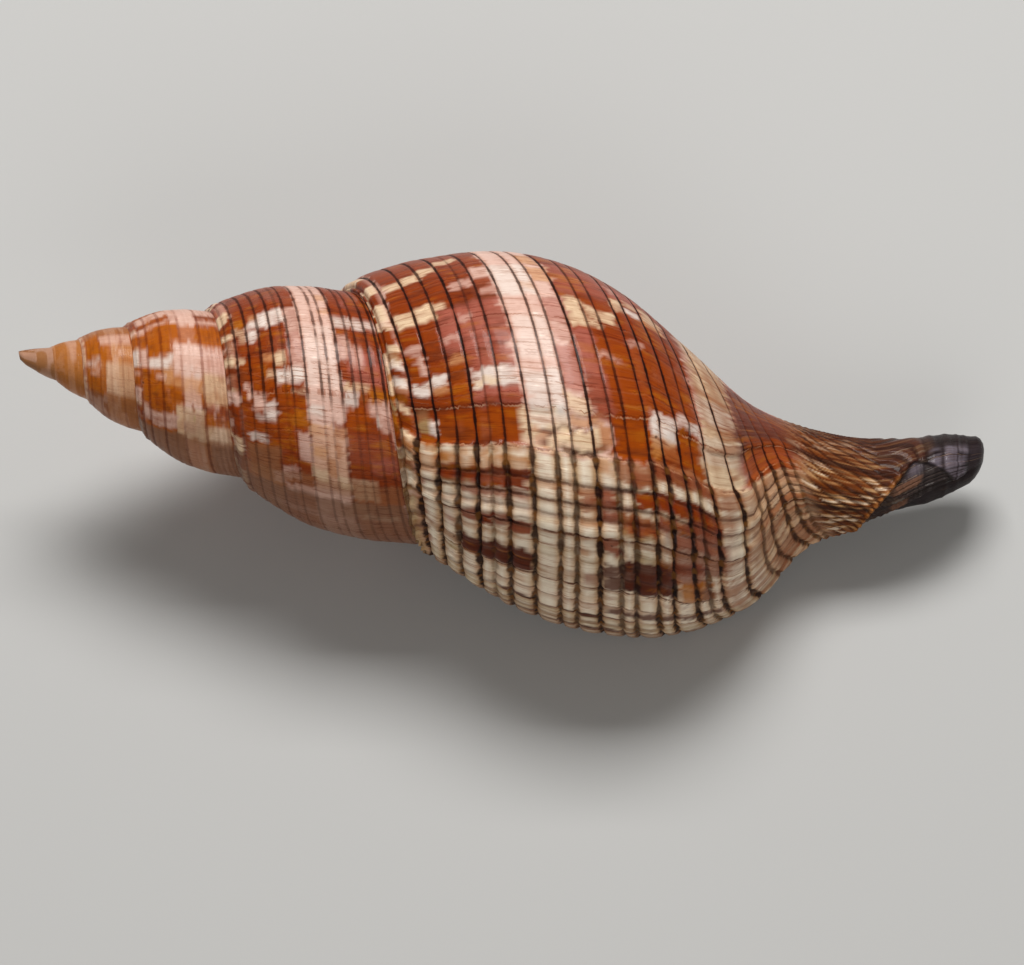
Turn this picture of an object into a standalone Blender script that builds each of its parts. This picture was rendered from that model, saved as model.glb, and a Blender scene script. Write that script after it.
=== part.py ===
"""An adult tulip shell, a dextral sea snail's shell, lying on its aperture.

One natural wall grown in one piece: a helical spire, a swollen last whorl, a
half-open siphonal canal, and the hollow last turn behind the aperture.
Millimetres below are turned into metres by MM. +Z up, apex towards -X, canal
towards +X, origin at the middle of the underside of the bounding box.
"""

import bmesh
import bpy
import numpy as np
from mathutils import Matrix

for old in list(bpy.data.objects):
    bpy.data.objects.remove(old, do_unlink=True)

MM = 0.001

# ---- growth ----------------------------------------------------------------
WHORL_RATIO = 1.777  # the suture's distance from the apex grows by this each turn
SUTURE_AT_LIP = 67.4
SPIRE_TURNS = 5.6  # turns of suture drawn before the apex cap
LIP_ANGLE = 192.0  # where the lip stands about the axis, from the crest, in degrees
ROWS = 40  # growth steps in one turn

# ---- sections of the last turn, a quarter turn apart, lip last -----------------
STATIONS = (-1.0, -0.75, -0.5, -0.25, 0.0)
AXIAL = (  # distance from the apex of guide lines 0 (suture) to 13 (canal tip)
    (37.9, 43.8, 50.5, 58.4, 67.4),
    (40.0, 44.8, 51.3, 60.2, 68.4),
    (44.2, 49.3, 56.7, 67.0, 74.4),
    (49.9, 56.0, 64.3, 74.6, 81.7),
    (54.6, 61.1, 70.1, 82.2, 89.7),
    (57.7, 64.5, 74.1, 87.3, 95.6),
    (63.4, 72.4, 83.4, 95.8, 104.3),
    (67.4, 78.0, 90.1, 100.4, 109.9),
    (75.5, 86.8, 100.4, 108.0, 118.3),
    (86.8, 100.0, 112.8, 118.7, 127.1),
    (108.5, 120.9, 127.1, 130.2, 133.3),
    (131.8, 135.6, 137.9, 139.2, 140.3),
    (144.2, 144.6, 145.1, 145.4, 145.7),
    (148.6, 148.6, 148.6, 148.6, 148.6),
)
RADIAL = (  # distance from the axis of the same guide lines
    (13.9, 15.5, 17.1, 18.7, 20.1),
    (15.8, 17.4, 18.9, 19.8, 20.9),
    (18.0, 19.7, 22.3, 23.6, 24.1),
    (20.0, 22.3, 25.0, 26.7, 27.4),
    (20.6, 23.2, 26.5, 28.4, 29.3),
    (20.8, 23.6, 26.9, 28.7, 29.9),
    (20.5, 22.6, 25.9, 27.9, 29.4),
    (20.1, 20.6, 23.4, 26.0, 27.7),
    (13.0, 15.2, 16.7, 20.6, 22.6),
    (6.5, 8.1, 8.8, 10.2, 10.8),
    (5.6, 5.4, 5.7, 6.8, 8.4),
    (6.2, 5.3, 5.5, 6.1, 7.7),
    (4.3, 5.0, 5.1, 5.4, 6.0),
    (3.4, 3.9, 4.1, 4.0, 3.4),
)
SHOULDER = 7.0  # the guide line that the next turn's suture runs along
CANAL_END = 13.0
TIP_DOME = 2.4  # the closed tip's height beyond the last guide line
# ---- suture radius on the spire, by turns before the lip ------------------------
SPIRE_TURN = (-7.0, -5.4, -4.15, -3.52, -3.04, -2.56, -2.11, -1.56, -1.05, -0.55, 0.0)
SPIRE_RADIUS = (0.5, 1.4, 2.6, 3.8, 5.1, 6.65, 8.5, 10.75, 13.5, 16.8, 20.1)
APEX_REACH = 1.2  # how far the first whorls are drawn out past the others' cone
APEX_DROP = 0.4  # how far the first whorls lean off the axis
# ---- wall, canal and cavity -------------------------------------------------------
WALL = 1.7
LIP_EDGE = 0.7  # the wall's thickness at the lip
CANAL_WALL = 0.9
CANAL_BEND = 4.8  # how far the canal's tip turns up
CANAL_TWIST = 80.0  # how far the canal's edge turns back about the axis, in degrees
CAVITY_TURNS = 0.8
PILLAR = (20.1, 12.4, 5.0, 3.2, 2.8, 2.3, 1.8)  # columella radius, lines 7 to 13
# ---- rest ---------------------------------------------------------------------------
REST_ROLL = -69.6
REST_PITCH = 9.1


def through(x, xs, ys):
    """A smooth curve through rows ys at xs, read at each x."""
    xs, ys, x = np.asarray(xs, float), np.asarray(ys, float), np.asarray(x, float)
    gap = np.diff(xs)[:, None]
    slope = np.diff(ys, axis=0) / gap
    lean = np.vstack([slope[:1], (slope[:-1] * gap[1:] + slope[1:] * gap[:-1]) / (gap[:-1] + gap[1:]), slope[-1:]])
    i = np.clip(np.searchsorted(xs, x, side="right") - 1, 0, len(xs) - 2)
    wide = gap[i]
    t = ((x - xs[i])[:, None]) / wide
    near = (2 * t**3 - 3 * t**2 + 1) * ys[i] + (t**3 - 2 * t**2 + t) * wide * lean[i]
    return near + (3 * t**2 - 2 * t**3) * ys[i + 1] + (t**3 - t**2) * wide * lean[i + 1]


def along(rows, at, line):
    """Reads each row of guide values at its own line number, smoothly by arc length `at`."""
    last = rows.shape[1] - 1
    i = np.clip(np.floor(line).astype(int), 0, last - 1)
    t = line - i
    n = np.arange(len(line))
    h1 = at[n, i]
    h0 = np.where(i > 0, at[n, np.maximum(i - 1, 0)], h1)
    h2 = np.where(i < last - 1, at[n, np.minimum(i + 1, last - 1)], h1)
    p1, p2 = rows[n, i], rows[n, i + 1]
    p0 = np.where(i > 0, rows[n, np.maximum(i - 1, 0)], 2 * p1 - p2)
    p3 = np.where(i < last - 1, rows[n, np.minimum(i + 2, last)], 2 * p2 - p1)
    d0, d1, d2 = (p1 - p0) / h0, (p2 - p1) / h1, (p3 - p2) / h2
    m1 = (d0 * h1 + d1 * h0) / (h0 + h1)
    m2 = (d1 * h2 + d2 * h1) / (h1 + h2)
    near = (2 * t**3 - 3 * t**2 + 1) * p1 + (t**3 - 2 * t**2 + t) * h1 * m1
    return near + (3 * t**2 - 2 * t**3) * p2 + (t**3 - t**2) * h1 * m2


def ramp(x, low, high):
    t = np.clip((x - low) / (high - low), 0.0, 1.0)
    return t * t * (3.0 - 2.0 * t)


def profile(turn, line):
    """(axial, radial) of the outside at a growth turn (0 at the lip) and a guide line."""
    turn = np.asarray(turn, float)
    shape = turn.shape
    turn, line = turn.ravel(), np.broadcast_to(line, shape).astype(float).ravel()
    held = np.clip(turn, -1.0, 0.0)
    axial = np.exp(through(held, STATIONS, np.log(np.array(AXIAL)).T))
    radial = through(held, STATIONS, np.array(RADIAL).T)
    step = np.hypot(np.diff(axial, axis=1), np.diff(radial, axis=1))
    a, r = along(axial, step, line), along(radial, step, line)
    early = np.minimum(turn + 1.0, 0.0)
    scale = WHORL_RATIO**early
    share = (a - AXIAL[0][0]) / (SUTURE_AT_LIP - AXIAL[0][0])
    bulge = r - (RADIAL[0][0] + (RADIAL[0][-1] - RADIAL[0][0]) * share)
    bulge *= scale * (1.0 - 0.5 * ramp(-early, 1.5, 4.0))
    suture = np.interp(turn, SPIRE_TURN, SPIRE_RADIUS)
    after = np.interp(turn + 1.0, SPIRE_TURN, SPIRE_RADIUS)
    r = np.where(early < 0.0, suture + (after - suture) * share + bulge, r)
    a = a * scale
    a = a - APEX_REACH * (1.0 - ramp(a, 0.0, 5.0))
    return a.reshape(shape), r.reshape(shape)


def placed(turn, a, r):
    """The point at axial a and radial r on growth turn `turn`, in the shell's own frame."""
    angle = np.radians(LIP_ANGLE) + 2 * np.pi * turn - np.radians(CANAL_TWIST) * ramp(a, 122.5, 145.7)
    lift = CANAL_BEND * np.clip((a - 130.0) / 19.5, 0.0, 1.1) ** 1.9 - APEX_DROP * (1.0 - ramp(a, -1.0, 9.0))
    return np.stack([a, -r * np.sin(angle), r * np.cos(angle) + lift], axis=-1)


def relief(turn, line):
    """Height of the large sculpture: the cord below the suture and the two healed breaks."""
    cord = 0.55 * np.exp(-(((line - 0.45) / 0.3) ** 2)) - 0.2 * np.exp(-(((line - 1.1) / 0.3) ** 2))
    whorl = ramp(line, 0.3, 1.2) * (1.0 - ramp(line, 9.5, 10.5))
    upper = 0.4 * ramp(turn, -0.33, -0.288) * (1.0 - ramp(turn, -0.288, -0.278))
    lower = 0.6 * ramp(turn, -0.258, -0.248) * (1.0 - ramp(turn, -0.248, -0.16))
    edge = 0.35 * ramp(turn, -0.03, -0.008)
    size = np.minimum(WHORL_RATIO ** np.minimum(turn + 0.5, 0.0), 1.0)
    return size * cord + whorl * (upper + lower + edge) * (turn > -1.0)


def raised(shape, turn, line, height):
    """(axial, radial) of a section curve moved out along its own normal."""
    a, r = shape(turn, line)
    a1, r1 = shape(turn, line + 0.02)
    a0, r0 = shape(turn, np.maximum(line - 0.02, 0.0))
    length = np.maximum(np.hypot(a1 - a0, r1 - r0), 1e-6)
    return a - height * (r1 - r0) / length, r + height * (a1 - a0) / length


def outside(turn, line, depth=0.0):
    """The outer surface, or the surface `depth` below it."""
    a, r = raised(profile, turn, line, relief(turn, line) * ramp(line, 0.0, 0.2) - depth)
    return placed(turn, a, r)


def core(turn, line):
    """(axial, radial) of the wall under a later turn: the parietal wall and the columella."""
    a, r = profile(np.full(turn.shape, -1.0), line)
    back = -1.0 - turn
    scale = WHORL_RATIO**-back
    bottom = AXIAL[9][0]
    reach = (AXIAL[-1][0] - bottom * scale) / (AXIAL[-1][0] - bottom)
    a = np.where(line <= 9.0, a * scale, bottom * scale + (a - bottom) * reach)
    held = ramp(line, 9.0, 11.0)
    suture = np.interp(turn + 1.0, SPIRE_TURN, SPIRE_RADIUS) / RADIAL[0][-1]
    deep = np.interp(line, np.arange(7, 14), PILLAR) * (suture + (1.0 - suture) * held)
    folds = 0.35 * ramp(line, 8.6, 9.1) * (1.0 - ramp(line, 9.9, 10.3)) * np.sin(2 * np.pi * (line * 2.2 - back * 3.0))
    folds *= 1.0 - ramp(back, 0.5, 0.8)
    return a, r + (deep + folds - r) * ramp(back, 0.0, 0.07)


def patch(bm, turns, lines, surface):
    """One grid of the wall: rows at `turns`, columns at `lines`, laid on a surface."""
    made = bmesh.ops.create_grid(bm, x_segments=len(turns) - 1, y_segments=len(lines) - 1, size=1.0)
    verts = made["verts"]
    i = np.rint([(v.co.x + 1) / 2 * (len(turns) - 1) for v in verts]).astype(int)
    j = np.rint([(v.co.y + 1) / 2 * (len(lines) - 1) for v in verts]).astype(int)
    points = surface(np.asarray(turns)[i], np.asarray(lines)[j])
    for v, p in zip(verts, points):
        v.co = p * MM
    return verts


# rows of one turn, drawn closer at the two healed breaks
fractions = np.arange(ROWS) / ROWS
fractions[28], fractions[29], fractions[30], fractions[31] = 0.704, 0.714, 0.742, 0.753
all_turns = np.concatenate([fractions + whole for whole in range(-7, 0)] + [[0.0]])
spire_turns = all_turns[all_turns > -SPIRE_TURNS]
last_turns = all_turns[all_turns >= -1.0]
cavity_turns = all_turns[all_turns >= -CAVITY_TURNS]
wall_lines = np.array([0.0, 0.25, 0.55, 0.9, 1.4, 2.0, 3.0, 4.0, 5.0, 6.0, SHOULDER])
base_lines = np.array([SHOULDER, 7.25, 7.6, 8.0, 8.5, 9.0, 9.5, 10.0, 10.5, 11.0, 11.5, 12.0, 12.5, CANAL_END])
floor_lines = base_lines[1:]
lip_lines = np.concatenate([wall_lines, floor_lines])


def spire_surface(turn, line):
    points = outside(turn, line)
    at_suture = (line == SHOULDER) & (turn <= -1.0)
    points[at_suture] = outside(turn[at_suture] + 1.0, np.zeros(at_suture.sum()))
    return points


def seam(turn):
    """Where the cavity's roof meets its floor, at the closed end of the canal's slit."""
    inward = ramp(-turn, 0.0, 0.15)
    return placed(turn, AXIAL[-1][0] - 2.0 * inward, RADIAL[-1][0] - 1.6 * inward)


def floor_surface(turn, line):
    points = placed(turn, *core(turn - 1.0, line))
    end, mouth = line == CANAL_END, turn == 0.0
    points[end] = seam(turn[end])
    points[mouth] = outside(turn[mouth] - 1.0, line[mouth])
    return points


def roof_surface(turn, line):
    thick = LIP_EDGE + (WALL + (CANAL_WALL - WALL) * ramp(line, 8.0, 9.5) - LIP_EDGE) * ramp(-turn, 0.0, 0.08)
    points = outside(turn, np.maximum(line, 0.9), thick)
    root = floor_surface(turn, np.full(turn.shape, floor_lines[0]))
    near = np.clip(line / 0.9, 0.0, 1.0)[:, None]
    points = root + (points - root) * near
    points[line == CANAL_END] = seam(turn[line == CANAL_END])
    return points


def lip_surface(across, line):
    mouth = np.zeros(line.shape)
    outer, inner = outside(mouth, line), roof_surface(mouth, line)
    return outer + (inner - outer) * across[:, None]


def tip_surface(turn, rise):
    return placed(turn, AXIAL[-1][0] + TIP_DOME * np.sin(rise), profile(turn, CANAL_END)[1] * np.cos(rise))


def deep_surface(turn, side):
    """The hollow coiling on up the spire: one closed section of 16 sides at each turn."""
    depth = np.maximum(WALL * np.minimum(WHORL_RATIO ** (turn + 1.0), 1.0), 0.9) + 0.25
    places = []
    for line in (1.2, 2.2, 3.5, 5.0, 6.2, 7.0):
        places.append(raised(profile, turn, np.full(turn.shape, line), -depth))
    for line in (7.5, 8.0, 8.5, 8.8):
        q = np.full(turn.shape, line)
        above, below = raised(profile, turn, q, -depth), raised(core, np.minimum(turn, -1.0), q, -depth)
        places.append(tuple(np.where(turn > -1.0, u, w) for u, w in zip(above, below)))
    for line in (9.5, 9.0, 8.5, 8.0, 7.7, 7.4):
        places.append(raised(core, turn - 1.0, np.full(turn.shape, line), 0.25))
    a, r = (np.array([p[axis] for p in places]) for axis in (0, 1))
    n, k = np.arange(len(turn)), np.rint(side).astype(int) % 16
    return placed(turn, a[k, n], r[k, n])


bm = bmesh.new()
patch(bm, spire_turns, wall_lines, spire_surface)
patch(bm, last_turns, base_lines, outside)
patch(bm, last_turns, np.radians([0.0, 30.0, 60.0, 90.0]), tip_surface)
patch(bm, cavity_turns, floor_lines, floor_surface)
patch(bm, cavity_turns, lip_lines, roof_surface)
patch(bm, np.array([0.0, 1.0]), lip_lines, lip_surface)
bmesh.ops.remove_doubles(bm, verts=bm.verts, dist=0.00001)

# the last turn's blind end and the apex are the two loops still open
caps = bmesh.ops.holes_fill(bm, edges=[e for e in bm.edges if e.is_boundary], sides=0)["faces"]
for face in caps:
    if face.calc_center_median().x < 4 * MM:
        apex = bmesh.ops.poke(bm, faces=[face])["verts"][0]
        apex.co.x -= 3.3 * MM
        apex.co.z -= 0.2 * MM
hollow = bmesh.new()
patch(hollow, np.append(np.arange(-3.5, -0.79, 0.0625), -0.74), np.arange(17.0), deep_surface)
bmesh.ops.remove_doubles(hollow, verts=hollow.verts, dist=0.00001)
bmesh.ops.holes_fill(hollow, edges=[e for e in hollow.edges if e.is_boundary], sides=0)

# lay the shell down on its aperture and bring the frame's origin under it
rest = Matrix.Rotation(np.radians(REST_PITCH), 4, "Y") @ Matrix.Rotation(np.radians(REST_ROLL), 4, "X")
corners = np.array([rest @ v.co for v in bm.verts])
low, high = corners.min(axis=0), corners.max(axis=0)
home = bpy.data.collections.new("Tulip shell")
bpy.context.scene.collection.children.link(home)


def built(name, source):
    bmesh.ops.triangulate(source, faces=source.faces, quad_method="BEAUTY", ngon_method="BEAUTY")
    bmesh.ops.recalc_face_normals(source, faces=source.faces)
    bmesh.ops.transform(source, matrix=rest, verts=source.verts)
    middle = (low + high) / 2
    bmesh.ops.translate(source, vec=(-middle[0], -middle[1], -low[2]), verts=source.verts)
    mesh = bpy.data.meshes.new(name)
    source.to_mesh(mesh)
    source.free()
    made = bpy.data.objects.new(name, mesh)
    home.objects.link(made)
    return made


shell = built("tulip_shell", bm)
cutter = built("deep_hollow", hollow)
cutter.hide_render = True
cut = shell.modifiers.new("hollow spire", "BOOLEAN")
cut.operation = "DIFFERENCE"
cut.solver = "EXACT"
cut.object = cutter

wall = bpy.data.materials.new("shell_wall")
wall.use_nodes = True
bsdf = wall.node_tree.nodes["Principled BSDF"]
bsdf.inputs["Base Color"].default_value = (0.42, 0.20, 0.11, 1.0)
bsdf.inputs["Roughness"].default_value = 0.3
bsdf.inputs["Coat Weight"].default_value = 0.4
shell.data.materials.append(wall)
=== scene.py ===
"""The looks of an adult tulip shell lying on its mouth: one fine mesh of the whole wall.

A sea snail lays its shell down along the lip, a thin line at a time, as it turns
about the axis. Everything here follows that growth: `turn` counts turns back from
the lip (0), and `line` counts guide lines down the wall, from the suture (0) to
the canal's tip (13). Millimetres are turned into metres by MM.
"""

import bmesh
import bpy
import numpy as np
from mathutils import Matrix, Vector


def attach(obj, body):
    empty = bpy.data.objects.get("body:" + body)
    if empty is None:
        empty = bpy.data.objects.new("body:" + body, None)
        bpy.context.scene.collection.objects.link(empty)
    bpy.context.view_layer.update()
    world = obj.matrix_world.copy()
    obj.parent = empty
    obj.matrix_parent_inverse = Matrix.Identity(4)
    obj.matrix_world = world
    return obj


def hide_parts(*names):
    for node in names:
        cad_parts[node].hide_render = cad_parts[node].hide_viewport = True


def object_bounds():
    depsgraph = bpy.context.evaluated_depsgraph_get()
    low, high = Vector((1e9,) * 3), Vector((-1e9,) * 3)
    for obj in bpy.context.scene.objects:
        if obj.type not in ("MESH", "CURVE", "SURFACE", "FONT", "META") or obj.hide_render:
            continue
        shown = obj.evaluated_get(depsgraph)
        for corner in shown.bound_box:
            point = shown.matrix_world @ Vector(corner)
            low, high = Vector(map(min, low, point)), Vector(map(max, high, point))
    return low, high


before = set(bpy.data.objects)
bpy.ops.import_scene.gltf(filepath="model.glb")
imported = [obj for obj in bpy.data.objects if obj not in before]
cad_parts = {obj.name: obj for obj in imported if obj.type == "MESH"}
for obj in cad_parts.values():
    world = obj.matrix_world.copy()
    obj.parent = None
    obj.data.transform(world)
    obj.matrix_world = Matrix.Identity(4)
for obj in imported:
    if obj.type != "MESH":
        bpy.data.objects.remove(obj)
cad_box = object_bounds()

# ==== the coiled wall ========================================================
# The shell is one wall of aragonite that the snail's mantle lays down at the
# lip. Each new turn grows along the shoulder of the one before it.
MM = 0.001
WHORL_RATIO = 1.777  # the suture's distance from the apex grows by this each turn
SUTURE_AT_LIP = 67.4
SPIRE_TURNS = 5.6
LIP_ANGLE = 192.0  # where the lip stands about the axis, from the crest, in degrees
STATIONS = (-1.0, -0.75, -0.5, -0.25, 0.0)
AXIAL = (  # distance from the apex of guide lines 0 (suture) to 13 (canal tip), mm
    (37.9, 43.8, 50.5, 58.4, 67.4),
    (40.0, 44.8, 51.3, 60.2, 68.4),
    (44.2, 49.3, 56.7, 67.0, 74.4),
    (49.9, 56.0, 64.3, 74.6, 81.7),
    (54.6, 61.1, 70.1, 82.2, 89.7),
    (57.7, 64.5, 74.1, 87.3, 95.6),
    (63.4, 72.4, 83.4, 95.8, 104.3),
    (67.4, 78.0, 90.1, 100.4, 109.9),
    (75.5, 86.8, 100.4, 108.0, 118.3),
    (86.8, 100.0, 112.8, 118.7, 127.1),
    (108.5, 120.9, 127.1, 130.2, 133.3),
    (131.8, 135.6, 137.9, 139.2, 140.3),
    (144.2, 144.6, 145.1, 145.4, 145.7),
    (148.6, 148.6, 148.6, 148.6, 148.6),
)
RADIAL = (  # distance from the axis of the same guide lines, mm
    (13.9, 15.5, 17.1, 18.7, 20.1),
    (15.8, 17.4, 18.9, 19.8, 20.9),
    (18.0, 19.7, 22.3, 23.6, 24.1),
    (20.0, 22.3, 25.0, 26.7, 27.4),
    (20.6, 23.2, 26.5, 28.4, 29.3),
    (20.8, 23.6, 26.9, 28.7, 29.9),
    (20.5, 22.6, 25.9, 27.9, 29.4),
    (20.1, 20.6, 23.4, 26.0, 27.7),
    (13.0, 15.2, 16.7, 20.6, 22.6),
    (6.5, 8.1, 8.8, 10.2, 10.8),
    (5.6, 5.4, 5.7, 6.8, 8.4),
    (6.2, 5.3, 5.5, 6.1, 7.7),
    (4.3, 5.0, 5.1, 5.4, 6.0),
    (3.4, 3.9, 4.1, 4.0, 3.4),
)
SHOULDER = 7.0  # the guide line that the next turn's suture runs along
CANAL_END = 13.0
SPIRE_TURN = (-7.0, -5.4, -4.15, -3.52, -3.04, -2.56, -2.11, -1.56, -1.05, -0.55, 0.0)
SPIRE_RADIUS = (0.5, 1.4, 2.6, 3.8, 5.1, 6.65, 8.5, 10.75, 13.5, 16.8, 20.1)
APEX_REACH = 1.2  # how far the first whorls are drawn out past the others' cone
APEX_DROP = 0.4  # how far the first whorls lean off the axis
CANAL_BEND = 4.8  # how far the canal's tip turns up
CANAL_TWIST = 80.0  # how far the canal's edge turns back about the axis, in degrees


def through(x, xs, ys):
    """A smooth curve through rows ys at xs, read at each x."""
    xs, ys, x = np.asarray(xs, float), np.asarray(ys, float), np.asarray(x, float)
    gap = np.diff(xs)[:, None]
    slope = np.diff(ys, axis=0) / gap
    inner = (slope[:-1] * gap[1:] + slope[1:] * gap[:-1]) / (gap[:-1] + gap[1:])
    lean = np.vstack([slope[:1], inner, slope[-1:]])
    i = np.clip(np.searchsorted(xs, x, side="right") - 1, 0, len(xs) - 2)
    wide = gap[i]
    t = ((x - xs[i])[:, None]) / wide
    near = (2 * t**3 - 3 * t**2 + 1) * ys[i] + (t**3 - 2 * t**2 + t) * wide * lean[i]
    return near + (3 * t**2 - 2 * t**3) * ys[i + 1] + (t**3 - t**2) * wide * lean[i + 1]


def along(rows, at, line):
    """Reads each row of guide values at its own line number, smoothly by arc length `at`."""
    last = rows.shape[1] - 1
    i = np.clip(np.floor(line).astype(int), 0, last - 1)
    t = line - i
    n = np.arange(len(line))
    h1 = at[n, i]
    h0 = np.where(i > 0, at[n, np.maximum(i - 1, 0)], h1)
    h2 = np.where(i < last - 1, at[n, np.minimum(i + 1, last - 1)], h1)
    p1, p2 = rows[n, i], rows[n, i + 1]
    p0 = np.where(i > 0, rows[n, np.maximum(i - 1, 0)], 2 * p1 - p2)
    p3 = np.where(i < last - 1, rows[n, np.minimum(i + 2, last)], 2 * p2 - p1)
    d0, d1, d2 = (p1 - p0) / h0, (p2 - p1) / h1, (p3 - p2) / h2
    m1 = (d0 * h1 + d1 * h0) / (h0 + h1)
    m2 = (d1 * h2 + d2 * h1) / (h1 + h2)
    near = (2 * t**3 - 3 * t**2 + 1) * p1 + (t**3 - 2 * t**2 + t) * h1 * m1
    return near + (3 * t**2 - 2 * t**3) * p2 + (t**3 - t**2) * h1 * m2


def ramp(x, low, high):
    """0 below low, 1 above high, smooth between."""
    t = np.clip((x - low) / (high - low), 0.0, 1.0)
    return t * t * (3.0 - 2.0 * t)


def profile(turn, line):
    """(axial, radial) of the plain outside at a growth turn and a guide line."""
    held = np.clip(turn, -1.0, 0.0)
    axial = np.exp(through(held, STATIONS, np.log(np.array(AXIAL)).T))
    radial = through(held, STATIONS, np.array(RADIAL).T)
    step = np.hypot(np.diff(axial, axis=1), np.diff(radial, axis=1))
    a, r = along(axial, step, line), along(radial, step, line)
    early = np.minimum(turn + 1.0, 0.0)
    scale = WHORL_RATIO**early
    share = (a - AXIAL[0][0]) / (SUTURE_AT_LIP - AXIAL[0][0])
    bulge = r - (RADIAL[0][0] + (RADIAL[0][-1] - RADIAL[0][0]) * share)
    bulge *= scale * (1.0 - 0.5 * ramp(-early, 1.5, 4.0))
    suture = np.interp(turn, SPIRE_TURN, SPIRE_RADIUS)
    after = np.interp(turn + 1.0, SPIRE_TURN, SPIRE_RADIUS)
    r = np.where(early < 0.0, suture + (after - suture) * share + bulge, r)
    a = a * scale
    return a - APEX_REACH * (1.0 - ramp(a, 0.0, 5.0)), r


def placed(turn, a, r):
    """The point at axial a and radial r on growth turn `turn`, in the shell's own frame."""
    angle = np.radians(LIP_ANGLE) + 2 * np.pi * turn - np.radians(CANAL_TWIST) * ramp(a, 122.5, 145.7)
    lift = CANAL_BEND * np.clip((a - 130.0) / 19.5, 0.0, 1.1) ** 1.9 - APEX_DROP * (1.0 - ramp(a, -1.0, 9.0))
    return np.stack([a, -r * np.sin(angle), r * np.cos(angle) + lift], axis=-1)


def slant(turn, line):
    """How far the plain outside moves along and out for one guide line, mm."""
    a1, r1 = profile(turn, line + 0.02)
    a0, r0 = profile(turn, np.maximum(line - 0.02, 0.0))
    return (a1 - a0) / 0.04, (r1 - r0) / 0.04


def raised(turn, line, height):
    """(axial, radial) of the plain outside moved out along its own normal."""
    a, r = profile(turn, line)
    da, dr = slant(turn, line)
    length = np.maximum(np.hypot(da, dr), 1e-6)
    return a - height * dr / length, r + height * da / length


# ==== spiral grooves =========================================================
# Thin dark grooves run round the whorls, where the mantle's edge is folded. Each
# row below is one groove's guide line at the turns in GROOVE_TURN.
GROOVE_TURN = (-4.3, -3.3, -2.3, -1.35, -1.0, -0.42, -0.33, -0.26, -0.2, -0.08)
GROOVES = (
    (0.42, 0.42, 0.40, 0.42, 0.40, 0.38, 0.57, 0.66, 0.40, 0.30),
    (1.10, 1.10, 1.03, 1.05, 1.08, 1.16, 1.24, 1.26, 1.19, 1.18),
    (1.67, 1.67, 1.62, 1.58, 1.62, 1.67, 1.71, 1.72, 1.66, 1.58),
    (2.05, 2.05, 2.05, 2.06, 2.08, 2.10, 2.13, 2.13, 2.08, 2.01),
    (2.72, 2.70, 2.50, 2.45, 2.46, 2.48, 2.51, 2.52, 2.50, 2.45),
    (2.90, 2.90, 2.85, 2.78, 2.78, 2.77, 2.78, 2.79, 2.78, 2.76),
    (3.20, 3.20, 3.13, 2.98, 3.00, 3.03, 3.06, 3.08, 3.11, 3.10),
    (3.95, 3.95, 3.73, 3.52, 3.52, 3.53, 3.57, 3.60, 3.60, 3.59),
    (4.50, 4.50, 4.45, 4.15, 4.13, 4.12, 4.13, 4.15, 4.15, 4.11),
    (4.95, 4.95, 4.90, 4.62, 4.63, 4.65, 4.65, 4.64, 4.62, 4.57),
    (5.60, 5.60, 5.42, 5.17, 5.16, 5.17, 5.18, 5.18, 5.17, 5.15),
    (5.85, 5.85, 5.75, 5.58, 5.55, 5.51, 5.53, 5.55, 5.55, 5.54),
    (6.10, 6.10, 6.02, 5.84, 5.80, 5.75, 5.78, 5.81, 5.83, 5.80),
    (6.40, 6.40, 6.40, 6.33, 6.25, 6.17, 6.27, 6.34, 6.39, 6.35),
    (6.75, 6.75, 6.72, 6.80, 6.70, 6.50, 6.67, 6.83, 6.93, 6.80),
    (7.00, 7.00, 7.00, 7.00, 7.00, 6.98, 7.14, 7.25, 7.32, 7.30),
    (7.25, 7.25, 7.25, 7.25, 7.25, 7.25, 7.40, 7.49, 7.56, 7.55),
    (7.50, 7.50, 7.50, 7.50, 7.50, 7.43, 7.66, 7.78, 7.87, 7.77),
    (7.90, 7.90, 7.90, 7.90, 7.90, 7.83, 8.05, 8.20, 8.30, 8.17),
    (8.20, 8.20, 8.20, 8.20, 8.20, 8.15, 8.42, 8.53, 8.57, 8.47),
    (8.40, 8.40, 8.40, 8.40, 8.40, 8.38, 8.60, 8.70, 8.71, 8.66),
    (8.60, 8.60, 8.60, 8.60, 8.60, 8.59, 8.80, 8.90, 8.94, 8.90),
    (8.80, 8.80, 8.80, 8.80, 8.80, 8.80, 8.98, 9.08, 9.12, 9.10),
    (9.00, 9.00, 9.00, 9.00, 9.00, 9.00, 9.16, 9.24, 9.28, 9.27),
)
GROOVE_INK = np.array(  # how dark each groove is, from the suture down
    [0.5, 1.0, 1.0, 0.85, 1.0, 0.4, 0.9, 0.95, 0.85, 0.8, 1.0, 0.7, 0.8, 0.95]
    + [1.0, 1.0, 0.7, 1.0, 1.0, 0.7, 0.8, 0.9, 0.8, 0.7]
)
OLD_GROOVE_INK = np.array(  # the same on the spire
    [0.2, 1.0, 1.0, 0.2, 1.0, 0.1, 0.35, 0.8, 0.15, 0.15, 1.0, 0.2, 0.4, 0.3] + [0.5] * 10
)
CANAL_LINES = (9.75, 10.25, 10.75, 11.25, 11.75, 12.25, 12.6, 13.0)
POSTS = len(GROOVES) + 1  # the suture and the grooves, before the canal's own columns
LAST_COLUMN = POSTS + len(CANAL_LINES) - 1.0
SHOULDER_COLUMN = 16.0  # the groove that the next turn's suture covers


def posts(turn):
    """Guide lines of the suture, each groove and the canal's columns at each turn."""
    turn = np.asarray(turn, float)
    rows = [np.zeros(turn.shape)]
    rows += [np.interp(turn, GROOVE_TURN, row) for row in GROOVES]
    rows += [np.full(turn.shape, line) for line in CANAL_LINES]
    return np.stack(rows, axis=-1)


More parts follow.
